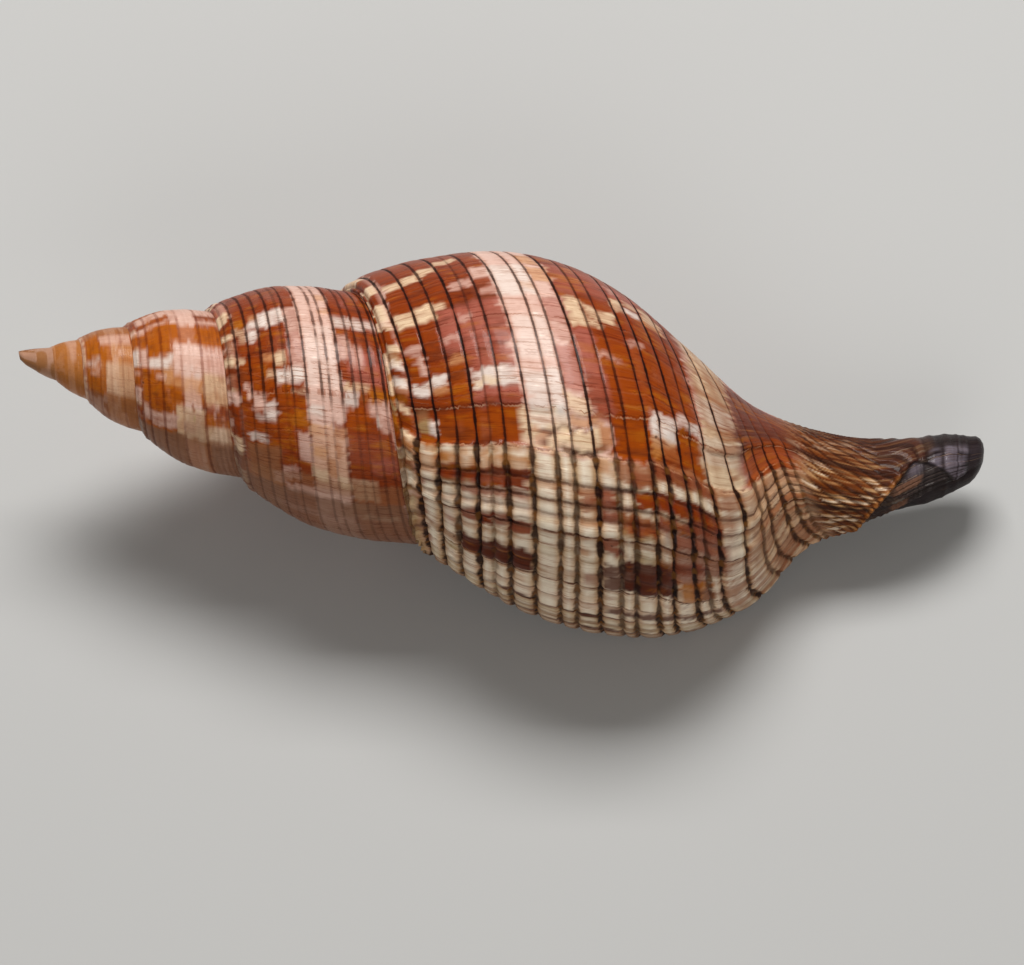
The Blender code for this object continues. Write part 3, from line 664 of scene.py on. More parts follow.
# some entries are painted light and shade, noted where they stand
BLOTCHES = (  # first and last guide line, first and last growth turn, paint, cover
    # last whorl, before the first break
    (1.2, 3.45, -0.60, -0.285, RUST, 0.95),
    (2.13, 3.5, -0.405, -0.352, MAUVE, 0.75),
    (2.5, 3.5, -0.352, -0.333, MAUVE, 0.6),
    (2.55, 3.55, -0.314, -0.298, MAUVE, 0.85),
    (2.6, 3.5, -0.306, -0.300, RUST, 0.6),
    (1.2, 2.1, -0.462, -0.446, CREAM, 0.85),
    (2.1, 2.48, -0.474, -0.46, CREAM, 0.8),
    (2.48, 3.0, -0.49, -0.478, CREAM, 0.7),
    (3.05, 3.5, -0.457, -0.436, BLUSH, 0.85),
    (2.5, 3.0, -0.437, -0.424, BLUSH, 0.6),
    (3.05, 3.5, -0.421, -0.413, BLUSH, 0.5),
    (1.24, 2.1, -0.404, -0.383, CREAM, 1.0),
    (2.1, 2.36, -0.406, -0.398, CREAM, 0.8),
    (2.5, 2.78, -0.392, -0.382, BLUSH, 0.45),
    (2.13, 2.5, -0.366, -0.36, BLUSH, 0.5),
    (1.26, 1.66, -0.358, -0.350, BLUSH, 0.7),
    (1.5, 1.68, -0.35, -0.324, BLUSH, 0.8),
    (1.28, 1.5, -0.349, -0.322, ORANGE, 0.8),
    (2.15, 2.48, -0.345, -0.336, PEACH, 0.6),
    (1.28, 1.7, -0.315, -0.302, WHITE, 1.0),
    (1.7, 2.12, -0.323, -0.311, WHITE, 1.0),
    (1.7, 2.1, -0.311, -0.304, PEACH, 0.6),
    (2.14, 2.5, -0.334, -0.30, ORANGE, 0.9),
    (2.54, 3.55, -0.333, -0.315, WHITE, 0.9),
    (2.56, 3.05, -0.322, -0.315, CREAM, 0.8),
    (3.5, 5.15, -0.60, -0.27, BLUSH, 1.0),
    (3.5, 4.62, -0.462, -0.412, WHITE, 0.75),
    (3.62, 4.66, -0.39, -0.345, WHITE, 0.45),
    (3.62, 4.66, -0.335, -0.300, WHITE, 0.75),
    (4.64, 5.15, -0.495, -0.47, PEACH, 0.8),
    (4.64, 5.15, -0.463, -0.437, PEACH, 0.75),
    (4.15, 4.64, -0.43, -0.42, PEACH, 0.4),
    (4.66, 5.15, -0.413, -0.385, MAUVE, 0.6),
    (4.66, 5.15, -0.382, -0.366, MAUVE, 0.35),
    (4.66, 5.17, -0.362, -0.322, MAUVE, 0.75),
    (4.66, 5.15, -0.318, -0.303, CREAM, 0.7),
    (5.17, 7.62, -0.60, -0.30, RUST, 0.95),
    (5.17, 6.15, -0.475, -0.425, MAUVE, 0.45),
    (6.15, 7.0, -0.468, -0.437, MAUVE, 0.7),
    (6.25, 6.5, -0.458, -0.446, BLUSH, 0.45),
    (6.17, 6.5, -0.436, -0.416, CREAM, 0.8),
    (6.52, 6.95, -0.427, -0.418, WHITE, 0.8),
    (6.55, 6.9, -0.442, -0.432, CREAM, 0.5),
    (7.0, 7.3, -0.445, -0.42, CREAM, 0.6),
    (7.0, 7.28, -0.42, -0.412, PEACH, 0.7),
    (5.2, 5.5, -0.416, -0.386, CREAM, 0.85),
    (5.54, 6.1, -0.409, -0.394, CREAM, 0.95),
    (5.2, 5.74, -0.391, -0.383, CREAM, 0.7),
    (6.2, 6.7, -0.383, -0.374, BLUSH, 0.5),
    (5.2, 5.55, -0.38, -0.30, MAUVE, 0.85),
    (5.2, 5.55, -0.334, -0.302, RUST, 0.5),
    (5.56, 7.68, -0.372, -0.30, ORANGE, 0.55),
    (5.5, 7.75, -0.303, -0.266, ORANGE, 1.0),
    (5.6, 5.9, -0.36, -0.354, BLUSH, 0.5),
    (7.2, 7.66, -0.315, -0.302, WHITE, 0.85),
    # the two cords below the suture, in short stripes
    (0.55, 1.2, -0.362, -0.352, CREAM, 0.9),
    (0.55, 1.2, -0.352, -0.342, TAN, 0.8),
    (0.55, 1.2, -0.341, -0.331, WHITE, 0.9),
    (0.55, 1.2, -0.331, -0.322, RUST, 0.7),
    (0.55, 1.2, -0.321, -0.309, WHITE, 0.9),
    (0.55, 1.2, -0.309, -0.301, RUST, 0.8),
    (0.55, 1.2, -0.301, -0.292, AMBER, 0.7),
    (0.55, 1.2, -0.291, -0.281, CREAM, 0.9),
    (0.55, 1.2, -0.281, -0.259, ORANGE, 0.9),
    (0.55, 1.2, -0.258, -0.250, CREAM, 0.9),
    (0.55, 1.2, -0.249, -0.238, AMBER, 0.8),
    (0.0, 1.2, -0.238, -0.233, UMBER, 0.7),
    (0.55, 1.2, -0.233, -0.224, CREAM, 0.9),
    (0.55, 1.2, -0.223, -0.218, UMBER, 0.6),
    (0.0, 1.2, -0.211, -0.191, IVORY, 0.8),
    (0.0, 1.2, -0.190, -0.186, UMBER, 0.8),
    (0.55, 1.2, -0.185, -0.176, BLUSH, 0.6),
    (0.0, 1.2, -0.175, -0.170, TAN, 0.7),
    (0.0, 1.2, -0.152, -0.143, UMBER, 0.6),
    (0.0, 1.2, -0.125, -0.118, UMBER, 0.6),
    (0.0, 0.5, -0.340, -0.330, CREAM, 0.8),
    (0.0, 0.5, -0.329, -0.318, AMBER, 0.8),
    (0.0, 0.5, -0.317, -0.303, CREAM, 0.8),
    (0.0, 0.5, -0.302, -0.294, AMBER, 0.7),
    (0.0, 0.5, -0.293, -0.282, BUFF, 0.8),
    (0.0, 0.5, -0.280, -0.264, AMBER, 0.8),
    (0.0, 0.5, -0.262, -0.250, ORANGE, 0.7),
    # from the first break to the second
    (1.25, 3.45, -0.288, -0.250, ORANGE, 0.95),
    (2.3, 3.45, -0.270, -0.258, RUST, 0.6),
    (1.27, 1.6, -0.286, -0.276, TAN, 0.8),
    (1.27, 1.55, -0.276, -0.262, BUFF, 0.7),
    (1.55, 1.71, -0.278, -0.260, WHITE, 0.95),
    (3.45, 3.68, -0.297, -0.267, CREAM, 0.95),
    (3.68, 4.66, -0.302, -0.284, IVORY, 0.8),
    (3.68, 3.95, -0.284, -0.268, PEACH, 0.7),
    (3.95, 5.25, -0.2895, -0.266, CREAM, 1.0),
    (4.3, 4.62, -0.305, -0.296, WHITE, 0.9),
    (4.65, 5.3, -0.300, -0.291, PEACH, 0.7),
    # painted shade on the steep right end of the raised slab
    (5.24, 5.46, -0.292, -0.268, AMBER, 0.7),
    (5.24, 5.42, -0.278, -0.268, UMBER, 0.6),
    (6.45, 7.2, -0.312, -0.288, WHITE, 1.0),
    (6.45, 7.2, -0.291, -0.272, PEACH, 0.8),
    (6.45, 6.85, -0.282, -0.27, AMBER, 0.6),
    (6.85, 7.2, -0.280, -0.266, ORANGE, 0.8),
    (6.5, 7.15, -0.2875, -0.2855, CREAM, 0.4),
    (7.72, 8.38, -0.60, -0.20, CREAM, 1.0),
    (8.0, 8.4, -0.42, -0.30, TAN, 0.5),
    (7.7, 8.35, -0.352, -0.318, WHITE, 0.5),
    (7.7, 8.45, -0.302, -0.268, IVORY, 0.7),
    (8.38, 9.5, -0.60, -0.30, MAUVE, 0.7),
    (8.4, 9.4, -0.45, -0.32, UMBER, 0.75),
    (8.35, 9.35, -0.36, -0.30, UMBER, 0.6),
    (8.5, 9.22, -0.335, -0.262, ORANGE, 0.7),
    # after the second break
    (1.24, 8.3, -0.264, 0.01, IVORY, 1.0),
    (8.3, 9.5, -0.264, 0.01, CREAM, 0.85),
    (8.35, 9.5, -0.262, -0.228, TERRA, 0.5),
    (8.35, 9.5, -0.205, -0.192, TERRA, 0.6),
    (8.35, 9.5, -0.172, -0.15, TERRA, 0.45),
    (8.5, 9.5, -0.128, -0.05, TERRA, 0.7),
    (7.66, 8.4, -0.60, -0.262, TAN, 0.3),
    # painted shadow: thin umber lines along the raised slab's left, top and lower edges
    (3.86, 3.96, -0.284, -0.268, UMBER, 0.9),
    (3.9, 4.3, -0.2845, -0.2815, UMBER, 0.9),
    (4.3, 4.72, -0.2885, -0.2855, UMBER, 0.9),
    (4.72, 5.24, -0.2925, -0.290, UMBER, 0.9),
    (4.1, 5.2, -0.2705, -0.2665, UMBER, 0.9),
    (1.3, 1.62, -0.252, -0.243, AMBER, 0.6),
    (1.72, 2.02, -0.246, -0.236, AMBER, 0.8),
    (2.1, 2.35, -0.255, -0.247, PEACH, 0.7),
    (2.55, 2.75, -0.258, -0.250, AMBER, 0.7),
    (2.8, 2.98, -0.262, -0.253, AMBER, 0.6),
    (3.1, 3.35, -0.264, -0.256, AMBER, 0.6),
    (1.24, 3.55, -0.2485, -0.237, AMBER, 0.8),
    (3.55, 5.15, -0.245, -0.237, AMBER, 0.45),
    (5.2, 5.5, -0.264, -0.252, AMBER, 0.7),
    (5.55, 6.4, -0.266, -0.247, TERRA, 0.95),
    (5.8, 6.25, -0.260, -0.250, RUST, 0.6),
    (6.4, 7.85, -0.265, -0.246, TERRA, 0.9),
    (6.4, 7.85, -0.259, -0.249, RUST, 0.7),
    # partly painted shadow under the ridge at -0.24, partly the shell's own brown
    (5.2, 7.85, -0.2425, -0.237, UMBER, 0.8),
    (1.24, 1.65, -0.236, -0.222, PEACH, 0.7),
    (1.7, 3.56, -0.2405, -0.2225, RUST, 1.0),
    (2.05, 3.56, -0.2405, -0.231, UMBER, 0.6),
    (3.6, 4.64, -0.231, -0.224, PEACH, 0.35),
    (4.66, 5.17, -0.2405, -0.2225, TERRA, 0.9),
    (4.8, 5.1, -0.236, -0.228, RUST, 0.5),
    (5.17, 5.55, -0.2395, -0.2225, RUST, 0.95),
    (5.6, 5.84, -0.230, -0.2225, RUST, 0.7),
    (5.84, 7.9, -0.2395, -0.2225, RUST, 1.0),
    (1.7, 2.45, -0.222, -0.212, BUFF, 0.4),
    (2.1, 3.56, -0.2235, -0.2145, RUST, 0.8),
    (2.5, 3.55, -0.216, -0.209, BLUSH, 0.5),
    (4.68, 5.15, -0.222, -0.210, PEACH, 0.8),
    (5.17, 5.55, -0.222, -0.210, RUST, 0.9),
    (5.55, 6.4, -0.221, -0.201, TERRA, 1.0),
    (5.7, 6.3, -0.216, -0.205, RUST, 0.7),
    (6.42, 7.9, -0.2195, -0.199, RUST, 0.95),
    (6.5, 7.2, -0.222, -0.2175, CREAM, 0.8),
    (3.6, 4.64, -0.212, -0.206, BUFF, 0.3),
    (4.1, 5.0, -0.199, -0.1965, AMBER, 0.7),
    # partly painted shadow under the ridge at -0.1965, partly the shell's own brown
    (1.7, 3.5, -0.2, -0.1965, UMBER, 0.7),
    (5.56, 6.3, -0.206, -0.198, BUFF, 0.5),
    (6.5, 7.9, -0.1985, -0.185, UMBER, 0.6),
    (2.08, 2.47, -0.1955, -0.182, RUST, 0.9),
    (2.5, 2.78, -0.1975, -0.183, RUST, 1.0),
    (2.78, 3.08, -0.1995, -0.186, RUST, 0.85),
    (3.08, 3.53, -0.1985, -0.183, RUST, 0.95),
    (4.66, 4.95, -0.188, -0.181, AMBER, 0.6),
    (5.18, 5.55, -0.199, -0.181, RUST, 0.9),
    (5.8, 6.4, -0.187, -0.176, BUFF, 0.6),
    (2.1, 3.5, -0.182, -0.174, AMBER, 0.4),
    (3.6, 5.15, -0.181, -0.172, BUFF, 0.35),
    (1.7, 2.0, -0.180, -0.162, MAUVE, 0.6),
    (6.9, 7.95, -0.193, -0.148, RUST, 0.75),
    (6.4, 7.9, -0.181, -0.176, TERRA, 0.8),
    (3.6, 4.64, -0.157, -0.144, TAN, 0.45),
    (2.05, 3.57, -0.165, -0.142, UMBER, 1.0),
    (1.3, 2.05, -0.153, -0.142, TAN, 0.7),
    (4.68, 5.15, -0.164, -0.15, RUST, 0.7),
    (4.68, 5.15, -0.15, -0.1435, TAN, 0.6),
    (5.2, 5.55, -0.172, -0.143, UMBER, 0.9),
    (5.55, 6.9, -0.176, -0.139, UMBER, 1.0),
    (6.85, 7.5, -0.168, -0.138, RUST, 0.8),
    (6.4, 6.9, -0.176, -0.168, AMBER, 0.5),
    (1.7, 1.98, -0.138, -0.124, BUFF, 0.8),
    (2.1, 2.4, -0.141, -0.134, AMBER, 0.6),
    (2.55, 3.5, -0.1435, -0.137, AMBER, 0.5),
    (3.1, 3.5, -0.134, -0.122, PEACH, 0.35),
    (4.7, 5.1, -0.134, -0.121, PEACH, 0.5),
    (5.9, 6.2, -0.136, -0.130, AMBER, 0.5),
    (6.95, 7.6, -0.141, -0.112, AMBER, 0.9),
    (7.3, 7.6, -0.128, -0.104, UMBER, 0.5),
    # partly painted shadow under the ridge at -0.0995, partly the shell's own brown
    (2.9, 3.56, -0.1055, -0.0965, UMBER, 0.95),
    (1.7, 2.9, -0.103, -0.0965, UMBER, 0.7),
    (3.6, 4.64, -0.103, -0.0965, UMBER, 0.75),
    (4.64, 5.17, -0.1035, -0.094, UMBER, 1.0),
    (5.17, 7.7, -0.1035, -0.095, UMBER, 0.9),
    (1.24, 8.4, -0.0965, 0.01, BUFF, 0.5),
    (2.4, 6.2, -0.086, -0.076, DUSK, 0.5),
    (2.4, 6.2, -0.073, -0.062, UMBER, 0.85),
    (1.24, 8.4, -0.065, 0.01, TAN, 0.65),
    (1.24, 8.4, -0.045, 0.01, DUSK, 0.4),
    (8.5, 9.3, -0.235, -0.215, CREAM, 0.35),
    (8.5, 9.4, -0.16, -0.118, CREAM, 0.35),
    # the whorl before
    (0.0, 1.05, -1.50, -1.445, MAUVE, 0.7),
    (0.1, 0.9, -1.435, -1.412, CREAM, 0.9),
    (0.0, 1.05, -1.41, -1.385, RUST, 0.9),
    (0.0, 1.05, -1.383, -1.372, CREAM, 0.7),
    (0.0, 1.05, -1.37, -1.335, RUST, 0.8),
    (0.2, 0.5, -1.36, -1.35, BLUSH, 0.7),
    (0.6, 1.0, -1.352, -1.342, BLUSH, 0.6),
    (0.3, 1.3, -1.333, -1.32, CREAM, 0.8),
    (0.0, 1.05, -1.318, -1.275, RUST, 0.9),
    (0.0, 0.5, -1.30, -1.29, BLUSH, 0.6),
    (0.0, 1.05, -1.272, -1.25, BLUSH, 0.9),
    (0.0, 1.05, -1.248, -1.198, RUST, 0.9),
    (0.1, 0.5, -1.225, -1.21, BLUSH, 0.6),
    (0.5, 1.05, -1.195, -1.17, CREAM, 0.7),
    # painted shade on the cords' lower side
    (0.0, 1.05, -1.17, -1.0, DUSK, 0.8),
    (1.05, 3.5, -1.56, -1.06, RUST, 0.95),
    (1.05, 3.0, -1.335, -1.20, ORANGE, 0.7),
    (2.95, 3.5, -1.42, -1.30, BLUSH, 0.8),
    (3.0, 3.5, -1.28, -1.235, ORANGE, 0.9),
    (1.0, 1.5, -1.412, -1.391, AMBER, 0.8),
    (1.62, 2.1, -1.402, -1.384, WHITE, 0.95),
    (2.08, 2.97, -1.42, -1.389, WHITE, 1.0),
    (1.7, 2.1, -1.414, -1.402, PEACH, 0.6),
    (1.62, 2.06, -1.381, -1.359, WHITE, 0.9),
    (1.05, 1.56, -1.39, -1.378, CREAM, 0.8),
    (1.3, 1.58, -1.378, -1.362, CREAM, 0.6),
    (2.1, 2.44, -1.338, -1.326, PEACH, 0.7),
    (2.46, 2.86, -1.342, -1.324, CREAM, 0.9),
    (1.1, 1.4, -1.332, -1.322, CREAM, 0.8),
    (2.8, 3.5, -1.374, -1.326, MAUVE, 0.3),
    (2.2, 2.5, -1.313, -1.303, CREAM, 0.6),
    (2.48, 3.6, -1.318, -1.298, WHITE, 0.95),
    (3.0, 3.55, -1.29, -1.284, CREAM, 0.7),
    (1.3, 1.62, -1.29, -1.268, BLUSH, 0.9),
    (1.6, 2.1, -1.276, -1.252, BLUSH, 0.9),
    (2.08, 2.42, -1.268, -1.244, WHITE, 0.8),
    (1.65, 2.45, -1.249, -1.237, WHITE, 0.5),
    (1.35, 2.1, -1.215, -1.203, WHITE, 0.8),
    (1.2, 2.45, -1.2, -1.06, TAN, 0.7),
    (2.5, 3.0, -1.182, -1.16, BLUSH, 0.6),
    (3.03, 3.55, -1.232, -1.192, BLUSH, 0.75),
    (2.15, 2.5, -1.165, -1.145, BLUSH, 0.5),
    (3.5, 5.16, -1.60, -1.06, BLUSH, 1.0),
    (3.5, 5.16, -1.39, -1.30, WHITE, 0.35),
    (4.6, 5.16, -1.462, -1.445, PEACH, 0.6),
    (4.6, 5.16, -1.423, -1.412, PEACH, 0.6),
    (4.62, 5.16, -1.256, -1.238, RUST, 0.7),
    (4.62, 5.0, -1.232, -1.212, ORANGE, 0.6),
    (3.5, 4.1, -1.25, -1.235, PEACH, 0.5),
    (5.18, 6.9, -1.56, -1.06, RUST, 0.95),
    (5.18, 6.9, -1.409, -1.39, WHITE, 0.75),
    (5.6, 5.84, -1.448, -1.43, MAUVE, 0.6),
    (5.2, 5.6, -1.376, -1.34, BLUSH, 0.7),
    (5.5, 6.9, -1.355, -1.308, MAUVE, 0.75),
    (5.6, 6.0, -1.36, -1.33, BLUSH, 0.5),
    (5.2, 6.1, -1.308, -1.299, CREAM, 0.8),
    (6.0, 6.95, -1.303, -1.29, AMBER, 0.8),
    (5.2, 5.62, -1.297, -1.277, WHITE, 0.8),
    (5.9, 6.9, -1.29, -1.27, BLUSH, 0.75),
    (5.25, 6.0, -1.277, -1.252, ORANGE, 0.9),
    (6.3, 6.45, -1.272, -1.255, WHITE, 0.8),
    (6.4, 6.95, -1.28, -1.25, BLUSH, 0.6),
    (5.2, 6.0, -1.183, -1.15, CREAM, 0.5),
    (5.2, 5.6, -1.142, -1.132, CREAM, 0.6),
    (4.6, 6.9, -1.145, -1.12, TAN, 0.5),
    (3.5, 5.16, -1.25, -1.16, PEACH, 0.5),
    (3.5, 4.1, -1.275, -1.262, WHITE, 0.7),
    (2.95, 3.5, -1.262, -1.24, AMBER, 0.6),
    (3.52, 4.1, -1.222, -1.205, PEACH, 0.7),
    (4.1, 4.62, -1.205, -1.18, AMBER, 0.45),
    (3.52, 4.1, -1.19, -1.172, CREAM, 0.7),
    (4.62, 5.16, -1.185, -1.165, CREAM, 0.7),
    (5.9, 6.9, -1.215, -1.195, MAUVE, 0.5),
    # painted shade on the whorl's lower side: this tan band and the dusk band below
    (1.0, 7.0, -1.175, -1.0, TAN, 0.55),
    (2.5, 5.16, -1.155, -1.14, BLUSH, 0.5),
    (5.3, 6.6, -1.125, -1.115, CREAM, 0.4),
    (2.0, 4.6, -1.11, -1.095, BLUSH, 0.3),
    (1.0, 7.0, -1.145, -1.0, DUSK, 0.7),
    # the two before that
    (0.0, 1.0, -2.56, -2.425, RUST, 0.7),
    (0.0, 1.0, -2.425, -2.408, BLUSH, 0.9),
    (0.0, 1.0, -2.405, -2.352, TAWNY, 0.9),
    (0.0, 1.0, -2.352, -2.302, WHITE, 0.9),
    (0.0, 1.0, -2.302, -2.245, TAWNY, 0.9),
    (0.0, 1.0, -2.285, -2.275, BLUSH, 0.5),
    (0.0, 1.0, -2.243, -2.205, BLUSH, 0.9),
    (0.0, 1.0, -2.2, -2.155, RUST, 0.8),
    # painted shade on the cords' lower side
    (0.0, 1.0, -2.15, -2.0, DUSK, 0.9),
    (1.0, 3.7, -2.56, -2.06, TAWNY, 0.95),
    (1.0, 3.2, -2.50, -2.453, BLUSH, 0.9),
    (1.0, 3.7, -2.452, -2.43, RUST, 0.6),
    (1.0, 3.2, -2.428, -2.416, BLUSH, 0.7),
    (1.0, 1.6, -2.42, -2.402, BLUSH, 0.8),
    (1.0, 1.6, -2.352, -2.30, BLUSH, 0.9),
    (1.6, 2.5, -2.326, -2.298, WHITE, 0.95),
    (2.5, 3.2, -2.33, -2.303, WHITE, 0.9),
    (2.5, 3.2, -2.303, -2.265, PEACH, 0.8),
    (2.1, 2.7, -2.285, -2.275, BLUSH, 0.7),
    (2.0, 2.5, -2.236, -2.21, RUST, 0.5),
    (1.05, 1.62, -2.21, -2.165, BLUSH, 0.9),
    (1.62, 3.2, -2.2, -2.165, BLUSH, 0.85),
    (1.0, 3.2, -2.182, -2.176, RUST, 0.5),
    (3.2, 5.38, -2.60, -2.418, BLUSH, 1.0),
    (3.2, 3.8, -2.45, -2.435, RUST, 0.4),
    (3.2, 5.38, -2.415, -2.364, TAWNY, 0.8),
    (3.2, 5.38, -2.364, -2.29, BLUSH, 1.0),
    (3.8, 5.3, -2.306, -2.296, WHITE, 0.6),
    (3.2, 5.38, -2.29, -2.262, PEACH, 0.7),
    (3.2, 3.8, -2.256, -2.228, TAWNY, 0.9),
    (3.8, 5.38, -2.262, -2.238, AMBER, 0.35),
    (3.2, 5.38, -2.228, -2.16, CREAM, 0.75),
    (3.8, 5.38, -2.225, -2.15, TAN, 0.45),
    (4.4, 4.65, -2.235, -2.22, RUST, 0.7),
    (4.4, 4.7, -2.21, -2.2, BUFF, 0.6),
    (5.38, 7.0, -2.56, -2.46, BLUSH, 0.9),
    (5.38, 7.0, -2.46, -2.44, RUST, 0.6),
    (5.38, 7.0, -2.438, -2.418, BLUSH, 0.8),
    (5.38, 7.0, -2.414, -2.355, TAWNY, 0.95),
    (5.38, 7.0, -2.355, -2.30, BLUSH, 0.95),
    (5.38, 7.0, -2.35, -2.31, MAUVE, 0.2),
    (5.38, 7.0, -2.30, -2.242, CREAM, 0.7),
    (5.38, 7.0, -2.262, -2.238, AMBER, 0.25),
    (5.38, 7.0, -2.236, -2.224, RUST, 0.6),
    (5.38, 7.0, -2.215, -2.198, TAWNY, 0.9),
    (5.38, 7.0, -2.197, -2.16, CREAM, 0.65),
    # painted shade on the whorl's lower side: the tan and dusk bands here
    (1.0, 7.0, -2.162, -2.0, TAN, 0.8),
    (1.0, 3.7, -2.155, -2.0, DUSK, 0.7),
    (5.45, 7.0, -2.155, -2.0, DUSK, 0.7),
    (1.0, 7.0, -3.53, -3.43, TAN, 0.75),
    (1.0, 2.7, -3.44, -3.315, TAWNY, 0.9),
    # painted highlight: a pink band across the fourth whorl
    (2.7, 6.8, -3.425, -3.375, BLUSH, 0.9),
    (2.7, 4.1, -3.372, -3.302, TAWNY, 0.9),
    (4.1, 7.0, -3.372, -3.315, PEACH, 0.8),
    (1.3, 2.7, -3.315, -3.295, WHITE, 0.8),
    (2.7, 7.0, -3.302, -3.20, CREAM, 0.6),
    (1.0, 3.3, -3.29, -3.18, TAWNY, 0.9),
    (1.6, 2.6, -3.27, -3.25, BLUSH, 0.7),
    # painted shade on the whorl's lower side: the tan and dusk bands here
    (3.3, 7.0, -3.2, -3.0, TAN, 0.8),
    (1.0, 3.3, -3.18, -3.0, DUSK, 0.6),
)


def lay(colour, paint, cover):
    """Covers a colour with a paint by a share at each corner."""
    return colour + (np.array(paint) - colour) * cover[:, None]


def pigment(turn, column):
    """The colour of the outside at each corner."""
    line = line_at(turn, column)
    grow = grown(turn, line)
    cell = np.floor(column)
    ragged = 0.0035 * smooth_noise(cell * 7.3, cell * 1.7, 3)
    ragged = ragged + 0.0022 * smooth_noise(column * 5.0, grow * 60, 21)
    ragged = ragged + 0.0016 * smooth_noise(column * 2.3, grow * 190, 33)
    streak = smooth_noise(grow * 330, column * 0.35, 22) + 0.6 * smooth_noise(grow * 110, column * 0.35, 34)
    across = line + 0.075 * streak + 0.05 * smooth_noise(grow * 45, column * 0.5, 36)
    at = grow + ragged
    old = ramp(-turn, 1.9, 3.4)
    older = ramp(-turn, 3.5, 4.3)
    colour = np.tile(BLUSH, (len(turn), 1))
    # bands by their place on the whorl, with blotches wherever none is named below
    blotch = smooth_noise(grow * 17, column * 0.55, 23) + 0.55 * smooth_noise(grow * 43, column * 1.2, 24)
    banded = box(across, 1.2, 3.48, 0.04) + box(across, 5.17, 7.6, 0.05) + 0.8 * box(across, 8.4, 9.4, 0.1)
    colour = lay(colour, RUST, 0.95 * banded * (1 - 0.9 * ramp(blotch, 0.42, 0.5)))
    colour = lay(colour, ORANGE, 0.7 * banded * ramp(smooth_noise(grow * 9, column * 0.3, 25), 0.1, 0.4))
    colour = lay(colour, MAUVE, 0.5 * (1 - banded) * ramp(blotch, 0.3, 0.6))
    # the beaded cords below the suture: short stripes of cream and rust
    stripe = smooth_noise(grow * 62, cell * 5.1, 26) + 0.5 * smooth_noise(grow * 150, cell * 2.7, 27)
    cords = 1.0 - ramp(column, 1.85, 2.0)
    band = lay(np.tile(CREAM, (len(turn), 1)), RUST, ramp(stripe, -0.12, 0.02))
    band = lay(band, BLUSH, (1.0 - ramp(stripe, -0.9, -0.4)) * 0.5)
    band = lay(band, BUFF, 0.6 * ramp(grow, -0.26, -0.2))
    colour = lay(colour, band, cords * (1 - 0.5 * old) * (1 - older))
    soft = 0.0019 * np.maximum(WHORL_RATIO ** np.maximum(-turn - 0.8, 0.0), 1.0)
    thin = 1.0 - 0.35 * ramp(smooth_noise(grow * 75, column * 0.9, 35) + 0.5 * streak, 0.2, 0.9)
    for first, last, start, end, paint, cover in BLOTCHES:
        near = (line > first - 0.2) & (line < last + 0.2) & (turn > start - 0.09) & (turn < end + 0.09)
        if not near.any():
            continue
        place = at[near] + lag(turn[near], np.full(near.sum(), (first + last) / 2))
        mask = box(across[near], first, last, 0.04) * box(place, start, end, soft[near])
        solid = thin[near] if paint[1] > 0.25 else 0.75 + 0.25 * thin[near]
        colour[near] = lay(colour[near], paint, cover * mask * solid)
    # after the second break each ridge gets a painted highlight at its crest and painted shade in its hollow,
    # with buff towards the grooves
    ridge, t = ridge_phase(grow)
    late = ramp(grow, BREAK_B, BREAK_B + 0.003) * (turn > -1.0) * ramp(line, 1.1, 1.3)
    late = late * (1 - ramp(line, 8.2, 8.6)) * ramp(colour[:, 1], 0.12, 0.4)
    hollow_shade = (1 - ramp(t, 0.05, 0.45)) * np.clip(RIDGES[ridge, 1] / 0.3, 0.2, 1.0)
    side = np.minimum(column - cell, cell + 1 - column)
    edge = (1 - ramp(side, 0.10, 0.34)) * (0.6 + 0.6 * smooth_noise(grow * 95, cell * 5.7, 44))
    colour = lay(colour, BUFF, np.clip(0.5 * late * edge, 0.0, 1.0))
    # painted shade in each ridge's hollow
    colour = lay(colour, TERRA, 0.6 * late * hollow_shade)
    # painted highlight along each ridge's crest
    colour = lay(colour, IVORY, 0.6 * late * box(t, 0.5, 0.92, 0.12) * ramp(side, 0.1, 0.3))
    # red and orange parts are streaked along the growth lines
    red = 1 - ramp(colour[:, 1] / colour[:, 0], 0.22, 0.34)
    thread = smooth_noise(grow * 210, column * 0.5, 45) + 0.7 * smooth_noise(grow * 480, column * 0.8, 46)
    thread = thread + 0.5 * smooth_noise(grow * 60, cell * 3.1, 47)
    colour = lay(colour, UMBER, 0.55 * red * ramp(thread, 0.15, 1.1))
    colour = lay(colour, AMBER, 0.5 * red * ramp(-thread, 0.3, 1.2))
    weft = smooth_noise(grow * 260, column * 0.35, 52) + 0.6 * smooth_noise(grow * 90, cell * 2.9, 53)
    plain = box(line, 7.7, 8.35, 0.08) * (turn > -1.0) + box(line, 8.4, 9.4, 0.1) * ramp(grow, -0.26, -0.24)
    colour = lay(colour, TERRA, np.clip(0.75 * plain * ramp(weft, 0.0, 0.6), 0.0, 1.0))
    between = 1 - ramp(np.abs(column - cell - 0.5), 0.05, 0.16)
    between = between * (0.7 + 0.6 * smooth_noise(grow * 70, cell * 1.9, 54))
    colour = lay(colour, TERRA, np.clip(0.5 * plain * between, 0.0, 1.0))
    # painted shade in the suture's crease, the warmer first whorls, and painted highlights on them
    colour = lay(colour, UMBER, 0.6 * (turn < -1.2) * (1 - ramp(column, 0.03, 0.28)) * (1 - 0.5 * older))
    colour = lay(colour, AMBER, 0.3 * old)
    colour = lay(colour, FIRST_WHORLS, 0.85 * older)
    colour = lay(colour, APEX_BROWN, 0.8 * ramp(-turn, 4.45, 4.9))
    # painted highlights: pink spots on the first whorls
    colour = lay(colour, BLUSH, 0.3 * older * ramp(smooth_noise(turn * 6, column * 0.2, 43), 0.2, 0.5))
